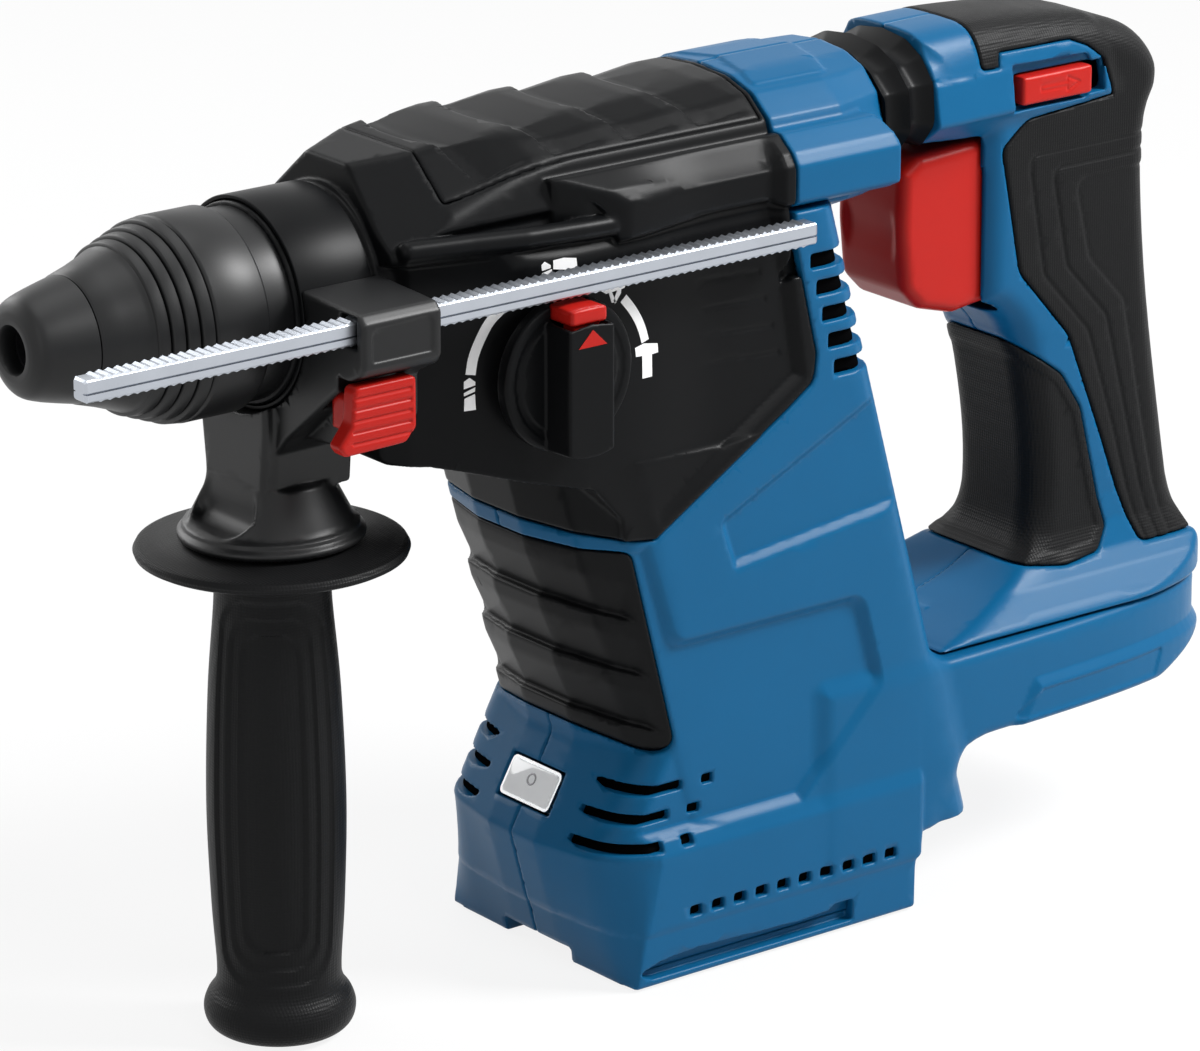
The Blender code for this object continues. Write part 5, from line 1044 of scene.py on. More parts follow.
handleSizes = {
    "rubber": 2.5,
    "wall": 2.6,
    "edge": 8.0,
    "front": 249.8,
    "frontLow": 8.0,
    "fit": 0.12,
    "proud": 0.15,
    "levels": (-140, -118.2, -114.5, -110.5, -106, -100, -93, 60),
    "widths": (33.4, 32.6, 28.2, 23.6, 20.2, 17.9, 17.0, 17.0),
    "armScale": ((249, 262, 300, 312), (1.0, 0.97, 0.88, 0.80)),
    "armEnd": 312.5,
    "closedBelow": -104,
}
pivotSizes = {"place": (262, -126.5), "knuckle": 6.2, "half": 10.0, "hole": 3.3}
pivotSizes |= {"web": (258, 268), "webTop": -114}
triggerRoom = {"half": 13.4, "levels": (-38.6, 7.5), "rear": 291.4}
sliderRoom = {"inner": 16.6, "span": (278.6, 307.6), "levels": (14.2, 22.2), "outer": 40}
creaseSizes = {"level": 25.0, "tilt": 0.05, "half": 0.5, "end": 263.5, "inner": 15}
handleBack = flowing(
    [(249, 35.7), (268, 36.0), (290, 34.4), (308, 31.8), (321, 27.2), (328.6, 19.5), (329.6, 12), (326, 0)]
    + [(328.4, -35), (335, -76), (341, -105), (347.4, -117.9)],
    5,
)
handleFront = flowing(
    [(250, -116.4), (262, -113.4), (275, -109), (284.5, -103), (288.5, -94), (288, -75), (282.8, -50)]
    + [(276.5, -40.5), (269.5, -36.5)],
    5,
)
handleOutline = [handleBack, [(244.2, -117.9)], handleFront, [(269, 6.5), (257, 8.2), (249, 8.8)]]
handleOutline = np.concatenate(handleOutline)
armSection = rounded(
    [(-8, 36.4), (0, 36.4), (4, 36.2), (7, 35.6), (13, 33.0, 6), (18.0, 28.2, 4), (20.2, 24.2, 0.6)]
    + [(20.4, 23.2, 0.4), (22.0, 14.2, 1.5), (18.5, 11.4, 2), (13.6, 8.0, 1), (13.6, 0), (-8, 0)]
)
backGripArea = rounded(
    [(266, 25.4, 1.5), (271.8, 25.2), (272.6, 28.8, 1), (296.5, 28.4, 1.5), (302, 26.2, 1.5), (307.4, 22.2, 1)]
    + [(310.2, 14.0, 1.2), (311.0, 12.4), (283.0, 10.2, 4), (275.0, 3.6, 3), (281.5, -29, 8), (298.5, -48, 12)]
    + [(310, -76, 30), (322, -107, 3), (380, -107), (380, 70), (266, 70)]
)
frontGripArea = rounded(
    [(230, -42.5), (280.5, -46.5, 6), (296.5, -58, 8), (303.2, -68, 8), (311.8, -101, 3), (307.5, -106.6, 3)]
    + [(296, -107.8, 8), (230, -98)]
)
triggerSide = rounded(
    [(246.6, 1.2, 2), (252, 4.9, 3), (270, 6), (284, 6), (284, -24), (275.5, -36, 3), (264, -37.5, 4)]
    + [(253, -34.5, 4), (247.6, -29, 5), (246.0, -14, 30)]
)
sliderWindow = rounded(
    [(276.0, 13.4, 1.0), (301.0, 13.4, 1.0), (305.4, 17.6, 1.0), (301.5, 24.4, 1.2), (276.0, 25.2, 1.0)]
)


def ridgeLine(step):
    # one of the nested outlines on the side of the back grip
    top = 0.6 - 4.3 * step
    return rounded(
        [(283.6 + 8.0 * step, top, 3), (289.6 + 7.6 * step, -31.0 + step, 5)]
        + [(305.0 + 6.0 * step, -48.0 + 3 * step, 6), (314.5 + 5.0 * step, -76, 20)]
        + [(325.5 + 4.0 * step, -112), (390, -112), (390, top)]
    )


def handleForm(block):
    size = handleSizes
    x, z, across = block.x, block.z, block.across
    half = np.interp(z, size["levels"], size["widths"]).astype(np.float32)
    profile = block.side(handleOutline)
    grip = meet(profile, (across - half) * 0.93, size["edge"])
    low = meet(meet(profile, (across - half) * 0.9, 2.0), block.plan(footPlan) + 0.3, 1.0)
    share = soft(z, -112, -96)
    grip = low * (1 - share) + grip * share
    scale = np.interp(x, *size["armScale"]).astype(np.float32)
    arm = meet(block.widenedSection(armSection, scale), profile, 1.2)
    arm = meet(arm, x - size["armEnd"] + 0.25 * (z - 14), 3.0)
    # the front plane cuts the arm alone
    return meet(merge(grip, arm, 2.5), size["front"] - x - 1000.0 * (z < size["frontLow"]), 0.6)


def buildHandle():
    size = handleSizes
    block = Block((242, -35, -135), (350, 0.6, 38.4))
    x, z, across = block.x, block.z, -block.y
    form = handleForm(block)
    shell = form
    for area in (backGripArea, frontGripArea):
        shell = without(shell, meet(block.side(area) - size["fit"], -(form + size["rubber"])), 0.5)
    shell = without(shell, meet(form + size["rubber"] + size["wall"], size["closedBelow"] - z))
    room = meet(across - triggerRoom["half"], slab(z, *triggerRoom["levels"]))
    shell = without(shell, meet(room, x - triggerRoom["rear"]), 0.4)

    # pocket and way through for the direction slider, crease, pivot
    shell = without(shell, meet(block.side(sliderWindow), sliderRoom["inner"] - across), 0.35)
    through = meet(slab(x, *sliderRoom["span"]), slab(z, *sliderRoom["levels"]))
    shell = without(shell, meet(through, across - sliderRoom["outer"]), 0.2)
    crease = np.abs(z - creaseSizes["level"] + creaseSizes["tilt"] * (x - 250)) - creaseSizes["half"]
    creased = (x < creaseSizes["end"]) * (across > creaseSizes["inner"])
    shell = shell + 0.5 * ramp(-crease, 0, creaseSizes["half"]) * creased
    pivot = np.hypot(x - pivotSizes["place"][0], z - pivotSizes["place"][1])
    web = meet(slab(x, *pivotSizes["web"]), slab(z, pivotSizes["place"][1], pivotSizes["webTop"]))
    knuckle = merge(pivot - pivotSizes["knuckle"], web)
    shell = merge(shell, meet(knuckle, across - pivotSizes["half"]))
    shell = without(shell, pivot - pivotSizes["hole"])
    shell = meet(shell, block.y + halfGap)
    left = moulded("handle_left", block, shell, blueShell)
    right = moulded("handle_right", block, bossed(block, shell, form, "rear_handle"), blueShell, True)
    settle(left, "rear_handle", "blue_casing", "handle_shell_left")
    settle(right, "rear_handle", "blue_casing", "handle_shell_right")


gripSizes = {"ridges": 3, "ridge": 0.42, "ridgeHalf": 0.9, "inside": 0.35, "frontDish": 0.4, "edge": 0.7}


def buildGrips():
    size = gripSizes
    block = Block((242, -35.0, -110), (350, 35.0, 38.4))
    form = handleForm(block) - handleSizes["proud"]
    lines = [block.side(ridgeLine(step)) for step in range(size["ridges"])]
    ridged = sum(size["ridge"] * ramp(size["ridgeHalf"] - np.abs(line), 0, size["ridgeHalf"]) for line in lines)
    ridged = (ridged + size["inside"] * ramp(-lines[-1], 0, 0.6)) * ramp(block.across, 9, 13)
    back, front = block.side(backGripArea), block.side(frontGripArea)
    dished = size["frontDish"] * ramp(-front, 2.6, 3.2)
    for name, area, relief in (("back_grip", back, ridged), ("front_grip", front, dished)):
        grip = meet(form + relief, area + handleSizes["proud"], size["edge"])
        grip = without(grip, form + handleSizes["rubber"])
        settle(moulded(name, block, grip, gripRubber), "rear_handle", "black_rubber", "handle_" + name)


triggerSizes = {"half": 13.0, "edge": 3.2, "finger": (232.0, -16.0), "fingerRadius": 15.4, "fingerHalf": 9.5}
sliderSizes = {
    "low": (279, -19.6, 14.6),
    "high": (302, 19.6, 21.8),
    "edge": 0.9,
    "arrowDepth": 0.45,
    "arrowHalf": 0.35,
    "coreLevels": (14.9, 21.5),
}
arrowSide = [(285, 17.6), (293.5, 17.6), (293.5, 16.4), (297.5, 18.2), (293.5, 20.0), (293.5, 18.8)]
arrowSide += [(285, 18.8)]
coreHalf = [(273.0, -9.0, 1), (308.5, -9.0, 1)]


def buildControls():
    size = triggerSizes
    block = Block((244.5, -14.2, -39), (285.2, 14.2, 7.4), spacing(0.5, voxel))
    key = meet(block.side(triggerSide), block.across - size["half"], size["edge"])
    finger = np.hypot(block.x - size["finger"][0], block.z - size["finger"][1]) - size["fingerRadius"]
    key = without(key, meet(finger, block.across - size["fingerHalf"], 2), 1.0)
    settle(moulded("trigger_key", block, key, redPlastic), "trigger", "red_control", "trigger")

    size = sliderSizes
    block = Block((278, -20.4, 13.8), (303, 20.4, 22.6), spacing(0.4, voxel))
    key = block.bar(size["low"], size["high"], size["edge"])
    arrow = ramp(size["arrowHalf"] - np.abs(block.side(arrowSide)), 0, size["arrowHalf"])
    key = key + size["arrowDepth"] * arrow * ramp(block.across, 18.0, 18.8)
    key = moulded("slider_key", block, key, redPlastic)
    settle(key, "direction_slider", "red_control", "direction_slider")
    core = rounded(coreHalf + flipped(coreHalf, 1))
    # the slider core takes the same flat black that serves as painted shade behind the vents
    core = plate("slider_core", core, "xy", *size["coreLevels"], ventBlack)
    settle(core, "direction_slider", "black_plastic")


buildHandle()
buildGrips()
buildControls()
print("rear handle done")

# bellows between casing and handle, and the springs

bellowsSizes = {
    "start": 230.0,
    "end": 249.6,
    "valleys": 2,
    "perValley": 20,
    "depth": 4.2,
    "wall": 1.2,
    "narrowing": 0.80,
    "middle": (0, 21.4),
}
bellowsHalf = [(11, 34.2, 10), (18.5, 30.8, 6), (24.3, 25.0, 2.5), (25.2, 15.0, 4), (19.0, 8.4, 5)]
bellowsRing = rounded([(0, 35.3)] + bellowsHalf + [(0, 7.6)] + flipped(bellowsHalf, 0))
givePlaces = (231, 0, 21), (249, 0, 21)


def buildBellows():
    size = bellowsSizes
    rows = size["valleys"] * size["perValley"]
    middle = np.array(size["middle"])
    spread = np.hypot(*(bellowsRing - middle).T)[:, None]
    rings = []
    for inset, order in ((0.0, 1), (size["wall"], -1)):
        for row in range(rows + 1)[::order]:
            t = row / rows
            fold = (0.5 - 0.5 * math.cos(2 * math.pi * size["valleys"] * t)) ** 0.5
            pulled = (bellowsRing - middle) * (1 - (size["depth"] * fold + inset) / spread)
            ring = pulled * (1 + (size["narrowing"] - 1) * t, 1) + middle
            along = np.full((len(ring), 1), size["start"] + t * (size["end"] - size["start"]))
            rings.append(np.concatenate([along, ring], 1))
    skin = skinned("bellows_skin", rings, bumperRubber, "looped")
    stretch(skin, "black_rubber", "bellows", ("casing", "rear_handle"), *givePlaces)


springSizes = {
    "handle_coil": {"span": (230.1, 249.5), "radius": 6.0, "wire": 0.9, "turns": 5, "level": 21.5},
    "chuck_coil": {"span": (34.8, 48.2), "radius": 13.65, "wire": 0.8, "turns": 5, "level": 0.0},
}


def coil(name, perTurn=28, around=8):
    size = springSizes[name]
    (low, high), wire, turns = size["span"], size["wire"], size["turns"]
    count = turns * perTurn
    forward = np.array((1, 0, 0))
    sides = 2 * math.pi * np.arange(around)[:, None] / around
    rings = []
    for index in range(count + 1):
        t = index / count
        angle = 2 * math.pi * turns * t
        lead = np.clip((t * turns - 0.9) / (turns - 1.8), 0, 1)  # closed end turns
        along = low + wire + (high - low - 2 * wire) * (0.14 * t + 0.86 * lead)
        out = np.array((0, math.cos(angle), math.sin(angle)))
        middle = np.array((along, 0, size["level"])) + out * size["radius"]
        rings.append(middle + wire * (np.cos(sides) * out + np.sin(sides) * forward))
    return skinned(name, rings, plainSteel, "capped")


buildBellows()
stretch(coil("handle_coil"), "bright_steel", "handle_spring", ("casing", "rear_handle"), *givePlaces)
chuckPlaces = (47.5, 0, 0), (35.5, 0, 0)
stretch(coil("chuck_coil"), "bright_steel", "chuck_spring", ("spindle", "chuck_sleeve"), *chuckPlaces)
print("bellows and springs done")

# chuck: dust cap, stepped sleeve and collar

chuckSizes = {
    "sleeveRadius": 24.0,
    "steps": 4,
    "stepLength": 3.2,
    "stepFrom": 22.6,
    "firstRadius": 19.9,
    "groove": 0.45,
    "collar": [(45.4, 18.5), (45.4, 22.6), (60.9, 22.6), (60.9, 18.5)],
}


def buildChuck():
    size = chuckSizes
    nose = flowing([(-4.0, 7.2), (-3.5, 9.0), (-2.0, 11.2), (1.2, 12.5), (5.9, 13.7), (10.4, 14.7)], 5)
    cap = [(-3.2, 5.5), (-3.85, 5.9)] + nose.tolist() + [(10.5, 14.5), (10.5, 11.6), (0.5, 11.6), (0.5, 5.5)]
    settle(turned("nose_cap", cap, blackSmooth), "spindle", "black_rubber", "dust_cap")

    # smooth cone, then four narrow steps up to the cylinder
    outer = [(10.8, 11.9), (10.8, 14.6), (11.3, 15.1), (16, 16.5), (21.0, 18.3), (21.9, 18.7), (22.2, 18.9)]
    rise = (size["sleeveRadius"] - 0.5 - size["firstRadius"]) / (size["steps"] - 1)
    for index in range(size["steps"]):
        start = size["stepFrom"] + index * size["stepLength"]
        radius = size["firstRadius"] + index * rise
        last, low = start + size["stepLength"], radius - size["groove"]
        outer += [(start - 0.05, radius - rise * 0.7), (start + 0.1, radius - 0.2), (start + 0.3, radius)]
        outer += [(last - 0.55, radius + 0.3), (last - 0.42, radius + 0.2)]
        outer += [(last - 0.4, low), (last - 0.1, low)]
    outer += [(35.5, 23.4), (35.8, 23.8), (36.3, 24.0), (49.2, 24.0), (49.8, 23.7), (50, 23.3), (50, 23.0)]
    inner = [(36.5, 23.0), (36.5, 16.3), (25.7, 16.3), (25.7, 11.9)]
    sleeve = turned("sleeve", outer + inner, blackSmooth, steps=128)
    settle(sleeve, "chuck_sleeve", "black_plastic", "locking_sleeve")
    collar = turned("collar", filleted(size["collar"]), blackSmooth, steps=128)
    settle(collar, "casing", "black_plastic", "chuck_collar")
    print("chuck done")


buildChuck()

# mode knob with its release button

knobSizes = {
    "centre": (121.5, -19.5),
    "radius": 18.5,
    "disc": (-40.8, -36.8),
    "ring": 14.8,
    "ringHalf": 1.1,
    "ringDepth": 0.45,
    "top": -49.3,
    "halfBar": 6.9,
    "barTop": -4.9,
    "barRadius": 18.3,
    "room": 5.5,
    "stemRoom": 4.05,
    "shaft": 7.0,
    "shaftSpan": (-38, -23.8),
    "pin": 2.0,
    "pinSpan": (-25, -20.9),
    "pinOut": 3.5,
}
buttonSizes = {"half": 5.2, "stemHalf": 3.75, "crown": 18.2, "edge": 0.9}


def buildKnob():
    size = knobSizes
    fine = spacing(0.42, 0.8)
    cx, cz = size["centre"]
    block = Block((102, -50, -39), (141.2, -20.2, 0), fine)
    x, y, z = block.x, block.y, block.z
    radial = np.hypot(x - cx, z - cz)
    disc = meet(radial - size["radius"], slab(y, *size["disc"]), 1.0)
    ring = meet(np.abs(radial - size["ring"]) - size["ringHalf"], y + 40.2)
    disc = disc + size["ringDepth"] * ramp(-ring, 0, 0.5)
    half, top = size["halfBar"], size["barTop"]
    bar = [(cx - half, top - 1.0, 0.6), (cx, top, 8), (cx + half, top - 1.0, 0.6)]
    bar = rounded(bar + [(cx + half, -60), (cx - half, -60)])
    bar = meet(block.side(bar), radial - size["barRadius"], 0.5)
    bar = meet(bar + 0.4 * ramp(-y, 40.5, 49.3), slab(y, size["top"], -38), 0.5)
    knob = merge(disc, bar, 0.6)
    room = meet(meet(np.abs(x - cx) - size["room"], slab(y, -48.6, -38.8)), -8.4 - z)
    stemRoom = meet(meet(np.abs(x - cx) - size["stemRoom"], slab(y, -47.5, -42.6)), -15.4 - z)
    knob = without(knob, merge(room, stemRoom), 0.2)
    knob = merge(knob, meet(radial - size["shaft"], slab(y, *size["shaftSpan"])))
    pin = np.hypot(x - cx, z - cz - size["pinOut"]) - size["pin"]
    knob = merge(knob, meet(pin, slab(y, *size["pinSpan"])))
    settle(moulded("knob", block, knob, blackShell), "mode_knob", "black_plastic", "mode_knob")

    size = buttonSizes
    block = Block((114, -49.6, -13.2), (129, -38.4, 0), fine)
    cap = block.bar((cx - size["half"], -48.3, -5.6), (cx + size["half"], -39.1, -1.5), size["edge"])
    cap = meet(cap, np.hypot(block.x - cx, block.z - cz) - size["crown"], 0.5)
    stem = block.bar((cx - size["stemHalf"], -47.2, -12.5), (cx + size["stemHalf"], -42.9, -4.2), 0.3)
    button = moulded("knob_button", block, merge(cap, stem, 0.3), redPlastic)
    settle(button, "knob_button", "red_control", "knob_release_button")
    print("mode knob done")


buildKnob()

# side handle: clamp, strap, depth button, grip

clampSizes = {
    "boltX": 65.5,
    "armSpan": (58, 80),
    "wedgeSpan": (64, 80),
    "columnSpan": (55.0, 76.0),
    "columnLevels": (-57, -18),
    "columnHalf": ((-57, -40, -28), (11.0, 11.6, 13.0)),
    "edge": 1.0,
    "panelY": -46.6,
    "panelDepth": 0.45,
    "baseLevels": (-57, -41),
    "scoopHalf": 11.0,
    "scoopTop": -53.0,
    "neck": 25.3,
    "rodAcross": (-45.1, -39.0),
    "rodLevels": (-0.6, 6.6),
    "bolt": 4.4,
}
clampArm = rounded(
    [(-20, 8.5), (-45.8, 7.4, 1.5), (-47.8, 5.4, 1.0), (-47.8, -5.0, 0.8), (-46.4, -7.0, 0.8), (-40, -10.4, 2)]
    + [(-17, -29.0, 2), (-12.8, -33.5, 2), (-11.8, -44), (11.8, -44), (12.8, -33.5, 3), (21.5, -25, 8)]
    + [(28, -12, 8), (29.5, 2, 4), (27, 8.5, 2)]
)
clampPanel = rounded([(60.4, -4.0, 1), (77.6, -4.0, 1), (77.6, 5.0, 2), (60.4, 4.2, 2)])
clampWedge = rounded([(-14, -30), (-30, -28.5, 3), (-38.5, -21.5, 3), (-38.5, -3), (-28, -3), (-14, -20)])
clampBase = (-58, -55.2, -54.8, -53.4, -52.9, -46, -42.5, -41), (22.0, 22.0, 20.9, 20.6, 19.4, 15.9, 14.2, 9)
depthButtonSide = rounded(
    [(57, -9.3, 1.5), (74, -9.3, 1.2), (74, -21.5, 2), (71, -24.6, 1.5), (54.2, -25, 1.5), (52.5, -22.6, 1)]
    + [(56.2, -18, 3)]
)
strapRing = [(58, 23.9), (58, 25.0), (78, 25.0), (78, 23.9)]


def buildClamp():
    size = clampSizes
    block = Block((42.4, -48.8, -58), (88.8, 30.4, 9.4), spacing(0.5, 1.0))
    x, y, z = block.x, block.y, block.z
    arm = meet(block.section(clampArm), slab(x, *size["armSpan"]), 1.0)
    panel = meet(block.side(clampPanel), y - size["panelY"])
    arm = arm + size["panelDepth"] * ramp(-panel, 0, 0.5)
    wedge = meet(block.section(clampWedge), slab(x, *size["wedgeSpan"]), 0.7)
    radial = np.hypot(x - size["boltX"], y)
    base = meet((radial - np.interp(z, *clampBase)) * 0.85, slab(z, *size["baseLevels"]), 0.4)
    scoop = meet(x - size["columnSpan"][0], block.across - size["scoopHalf"], 3.0)
    base = without(base, meet(scoop, size["scoopTop"] - z, 5.0), 0.8)
    columnHalf = np.interp(z, *size["columnHalf"]).astype(np.float32)
    column = meet(slab(x, *size["columnSpan"]), block.across - columnHalf, size["edge"])
    column = meet(column, slab(z, *size["columnLevels"]))
    clamp = merge(merge(merge(arm, wedge, 0.6), column, 0.8), base, 1.0)
    clamp = meet(clamp, size["baseLevels"][0] - z)

    # room for the neck, the rod, the depth button and the bolt
    clamp = without(clamp, np.hypot(y, z) - size["neck"], 0.5)
    clamp = without(clamp, meet(slab(y, *size["rodAcross"]), slab(z, *size["rodLevels"])), 0.3)
    clamp = without(clamp, meet(block.side(depthButtonSide) - 0.5, y + 37.6), 0.25)
    clamp = without(clamp, block.bar((59.5, -60, -22.5), (71.5, -29.6, -12.5)), 0.1)
    clamp = without(clamp, radial - size["bolt"])
    clamp = moulded("side_clamp", block, clamp, blackSmooth)
    settle(clamp, "side_handle", "black_plastic", "side_handle_clamp")
    strap = turned("neck_strap", filleted(strapRing, 0.3), blackShell, steps=128)
    settle(strap, "side_handle", "black_plastic", "clamp_strap")


depthSizes = {
    "across": (-46, -41.3),
    "edge": 0.8,
    "groovePitch": 2.6,
    "grooveFrom": -23.6,
    "grooveLevels": (-24, -11.2),
    "grooveSpan": (56, 72.5),
    "grooveDepth": 0.6,
}


def buildDepthKey():
    size = depthSizes
    block = Block((51.6, -46.8, -25.8), (74.8, -31.8, -8.6), spacing(0.4, 0.8))
    x, y, z = block.x, block.y, block.z
    key = meet(block.side(depthButtonSide), slab(y, *size["across"]), size["edge"])
    grooves = np.abs(np.mod(z - size["grooveFrom"], size["groovePitch"]) - size["groovePitch"] / 2) - 0.5
    grooves = ramp(-meet(grooves, slab(z, *size["grooveLevels"])), 0, 0.5) * ramp(-y, 45.2, 45.6)
    grooved = (x > size["grooveSpan"][0]) * (x < size["grooveSpan"][1])
    key = key + size["grooveDepth"] * grooves * grooved
    stem = block.bar((60, -42, -22), (71, -32.5, -13), 0.4)
    key = moulded("depth_key", block, merge(key, stem, 0.4), redPlastic)
    settle(key, "depth_button", "red_control", "depth_button")


sideGripSizes = {
    "facings": (-128.5, 51.5),
    "roll": 15.5,
    "middle": -117.5,
    "panels": ((15.5, 47.5, 9.0), (12.0, 43.5, 7.5), (8.5, 39.5, 6.0)),
    "panelDepth": 0.75,
    "panelSpan": (-168.0, -67.0),
    "rows": (170, 24),
}
guardProfile = [(-57.3, 4.4), (-57.3, 20.3), (-57.7, 20.9), (-58.6, 30.6), (-59.0, 31.7), (-60.1, 32.3)]
guardProfile += [(-61.2, 31.9), (-61.8, 30.8), (-62.4, 24.5)]
gripProfile = flowing(
    [(-62.9, 22.3), (-64.0, 17.2), (-66.2, 14.5), (-72, 13.8), (-95, 15.6), (-123, 16.5), (-148, 15.8)]
    + [(-164, 14.8), (-168.5, 15.3), (-171.5, 17.2), (-174.5, 18.1), (-177.6, 17.5), (-179.6, 15.6)]
    + [(-180.4, 12.5)],
    14,
)
gripCore = [(-180.5, 8), (-180.5, 0.0), (-86, 0.0), (-86, 4.4)]


def insetPanels(along, angle, radius):
    # three nested steps on each of two faces
    size = sideGripSizes
    moved = np.zeros_like(radius)
    for facing in size["facings"]:
        turn = np.mod(angle - math.radians(facing) + math.pi, 2 * math.pi) - math.pi
        u, v = np.abs(turn) * size["roll"], np.abs(along - size["middle"])
        for half, reach, corner in size["panels"]:
            du, dv = u - half + corner, v - reach + corner
            away = np.hypot(np.maximum(du, 0), np.maximum(dv, 0)) + np.minimum(np.maximum(du, dv), 0) - corner
            moved = moved - size["panelDepth"] * ramp(-away, -0.3, 0.3)
    low, high = size["panelSpan"]
    return moved * ((along < high) & (along > low))


def buildSideGrip():
    low, high = sideGripSizes["panelSpan"]
    levels = np.linspace(high, low, spacing(*sideGripSizes["rows"]))
    radii = np.interp(levels, gripProfile[::-1, 0], gripProfile[::-1, 1])
    before = gripProfile[gripProfile[:, 0] > high + 0.2]
    after = gripProfile[gripProfile[:, 0] < low - 0.2]
    profile = np.concatenate([guardProfile, before, np.stack([levels, radii], 1), after, gripCore])
    centre = (clampSizes["boltX"], 0, 0)
    grip = turned("side_grip_skin", profile, gripRubber, "z", centre, 160, insetPanels)
    settle(grip, "side_grip", "black_rubber", "side_handle_grip")


buildClamp()
buildDepthKey()
buildSideGrip()
print("side handle done")

# trees of nodes for what repeats


class Tree(Graph):
    def __init__(self, name, inputs):
        super().__init__(bpy.data.node_groups.new(name, "GeometryNodeTree"))
        self.sockets = {}
        for label, kind in {"Geometry": "Geometry", **inputs}.items():
            socket = self.tree.interface.new_socket(label, in_out="INPUT", socket_type="NodeSocket" + kind)
            self.sockets[label] = socket.identifier
        self.tree.interface.new_socket("Geometry", in_out="OUTPUT", socket_type="NodeSocketGeometry")
        self.start = self.tree.nodes.new("NodeGroupInput")

    def take(self, label):
        return Wire(self, self.start.outputs[label])

    def finish(self, points, label, material):
        # the object of one input, on each of the points
        shape = self.node("GeometryNodeObjectInfo", None, {"Object": self.take(label)}, "Geometry")
        copies = self.node("GeometryNodeInstanceOnPoints", None, {"Points": points, "Instance": shape})
        real = self.node("GeometryNodeRealizeInstances", None, {"Geometry": copies})
        painted = self.node("GeometryNodeSetMaterial", None, {"Geometry": real, "Material": material})
        self.feed(self.tree.nodes.new("NodeGroupOutput").inputs[0], painted)

    def run(self, name, places, material, values):
        base = meshObject(name + "_places", places, [], material, False)
        modifier = base.modifiers.new("tree", "NODES")
        modifier.node_group = self.tree
        for label, value in values.items():
            modifier[self.sockets[label]] = value
        graph = bpy.context.evaluated_depsgraph_get()
        mesh = bpy.data.meshes.new_from_object(base.evaluated_get(graph))
        base.modifiers.remove(modifier)
        bpy.data.objects.remove(base)
        mesh.name = name
        obj = bpy.data.objects.new(name, mesh)
        bpy.context.scene.collection.objects.link(obj)
        return obj


rodSizes = {
    "start": -13.5,
    "end": 192.5,
    "low": 0.0,
    "high": 6.0,
    "middle": -42.0,
    "teeth": 84,
    "plainEnd": 3.0,
    "tooth": 0.5,
    "foot": 0.25,
    "toothHalf": (2.4, 2.1),
    "chamfer": 0.6,
    "endScale": 0.82,
}
toothFaces = ((0, 1, 3, 2), (0, 4, 5, 1), (2, 3, 5, 4), (0, 2, 4), (1, 5, 3))


def buildRod():
    # saw teeth along both edges, one pair of wedges repeated
    size = rodSizes
    crown, foot = size["high"] - size["tooth"], size["foot"]
    pitch = (size["end"] - size["start"] - 2 * size["plainEnd"]) / size["teeth"]
    wide, narrow = size["toothHalf"]
    wedge, faces = [], []
    for base, tip in ((crown - 0.3, size["high"]), (foot + 0.3, size["low"])):
        faces += [tuple(len(wedge) + k for k in face) for face in toothFaces]
        wedge += [(along, across, base) for along in (0, pitch) for across in (-wide, wide)]
        wedge += [(pitch * 0.5, across, tip) for across in (-narrow, narrow)]
    tooth = meshObject("rod_tooth", np.array(wedge) * millimetre, faces, rodSteel, False)
    outward(tooth)
    tooth.data.shade_flat()
    tree = Tree("rodTeeth", {"Tooth": "Object", "Count": "Int", "Start": "Vector", "Pitch": "Vector"})
    sockets = {"Count": tree.take("Count"), "Start Location": tree.take("Start"), "Offset": tree.take("Pitch")}
    tree.finish(tree.node("GeometryNodeMeshLine", {"mode": "OFFSET"}, sockets), "Tooth", rodSteel)
    start = tuple(toWorld((size["start"] + size["plainEnd"], size["middle"], 0)))
    values = {"Tooth": tooth, "Count": size["teeth"], "Start": start, "Pitch": (pitch * millimetre, 0, 0)}
    teeth = tree.run("rod_teeth", [(0, 0, 0)], rodSteel, values)
    bpy.data.objects.remove(tooth)
    settle(teeth, "depth_rod", "bright_steel")

    # bar with a shallow groove down each flank
    flank = [(2.5, foot + 0.4, 0.3), (2.5, 2.1), (1.7, 2.2), (1.7, 2.5), (2.5, 2.6), (2.5, crown - 0.4, 0.3)]
    flank = [(2.1, foot, 0.2)] + flank + [(2.1, crown, 0.2)]
    section = rounded(flank + flipped(flank, 0), 3)
    middle = np.array((0, (size["low"] + crown) / 2))
    stations = [(size["start"], size["endScale"]), (size["start"] + size["chamfer"], 1.0)]
    stations += [(size["end"] - size["chamfer"], 1.0), (size["end"], size["endScale"])]
    rings = []
    for along, grow in stations:
        rings.append([(along, size["middle"] + u, v) for u, v in (section - middle) * grow + middle])
    bar = skinned("rod_bar", rings, rodSteel, "capped", 25)
    settle(bar, "depth_rod", "bright_steel", "depth_rod")
    print("depth rod done")


buildRod()

bladeSizes = {
    "places": (-20.0, -10.0, 0.0, 10.0, 20.0),
    "corners": [(153.0, -0.4), (173.5, -0.4), (173.5, 0.4), (153.0, 0.4)],
    "levels": (-180.0, -175.8),
    "edge": 0.15,
}


def scattered(name, shape, places, material):
    # one shape on each of the places
    shape.data.transform(Matrix.Translation((-axisPlace).tolist()))
    tree = Tree(name, {"Shape": "Object"})
    spots = tree.node("GeometryNodeMeshToPoints", None, {"Mesh": tree.take("Geometry")})
    tree.finish(spots, "Shape", material)
    made = tree.run(name, toWorld(places), material, {"Shape": shape})
    bpy.data.objects.remove(shape)
    return made


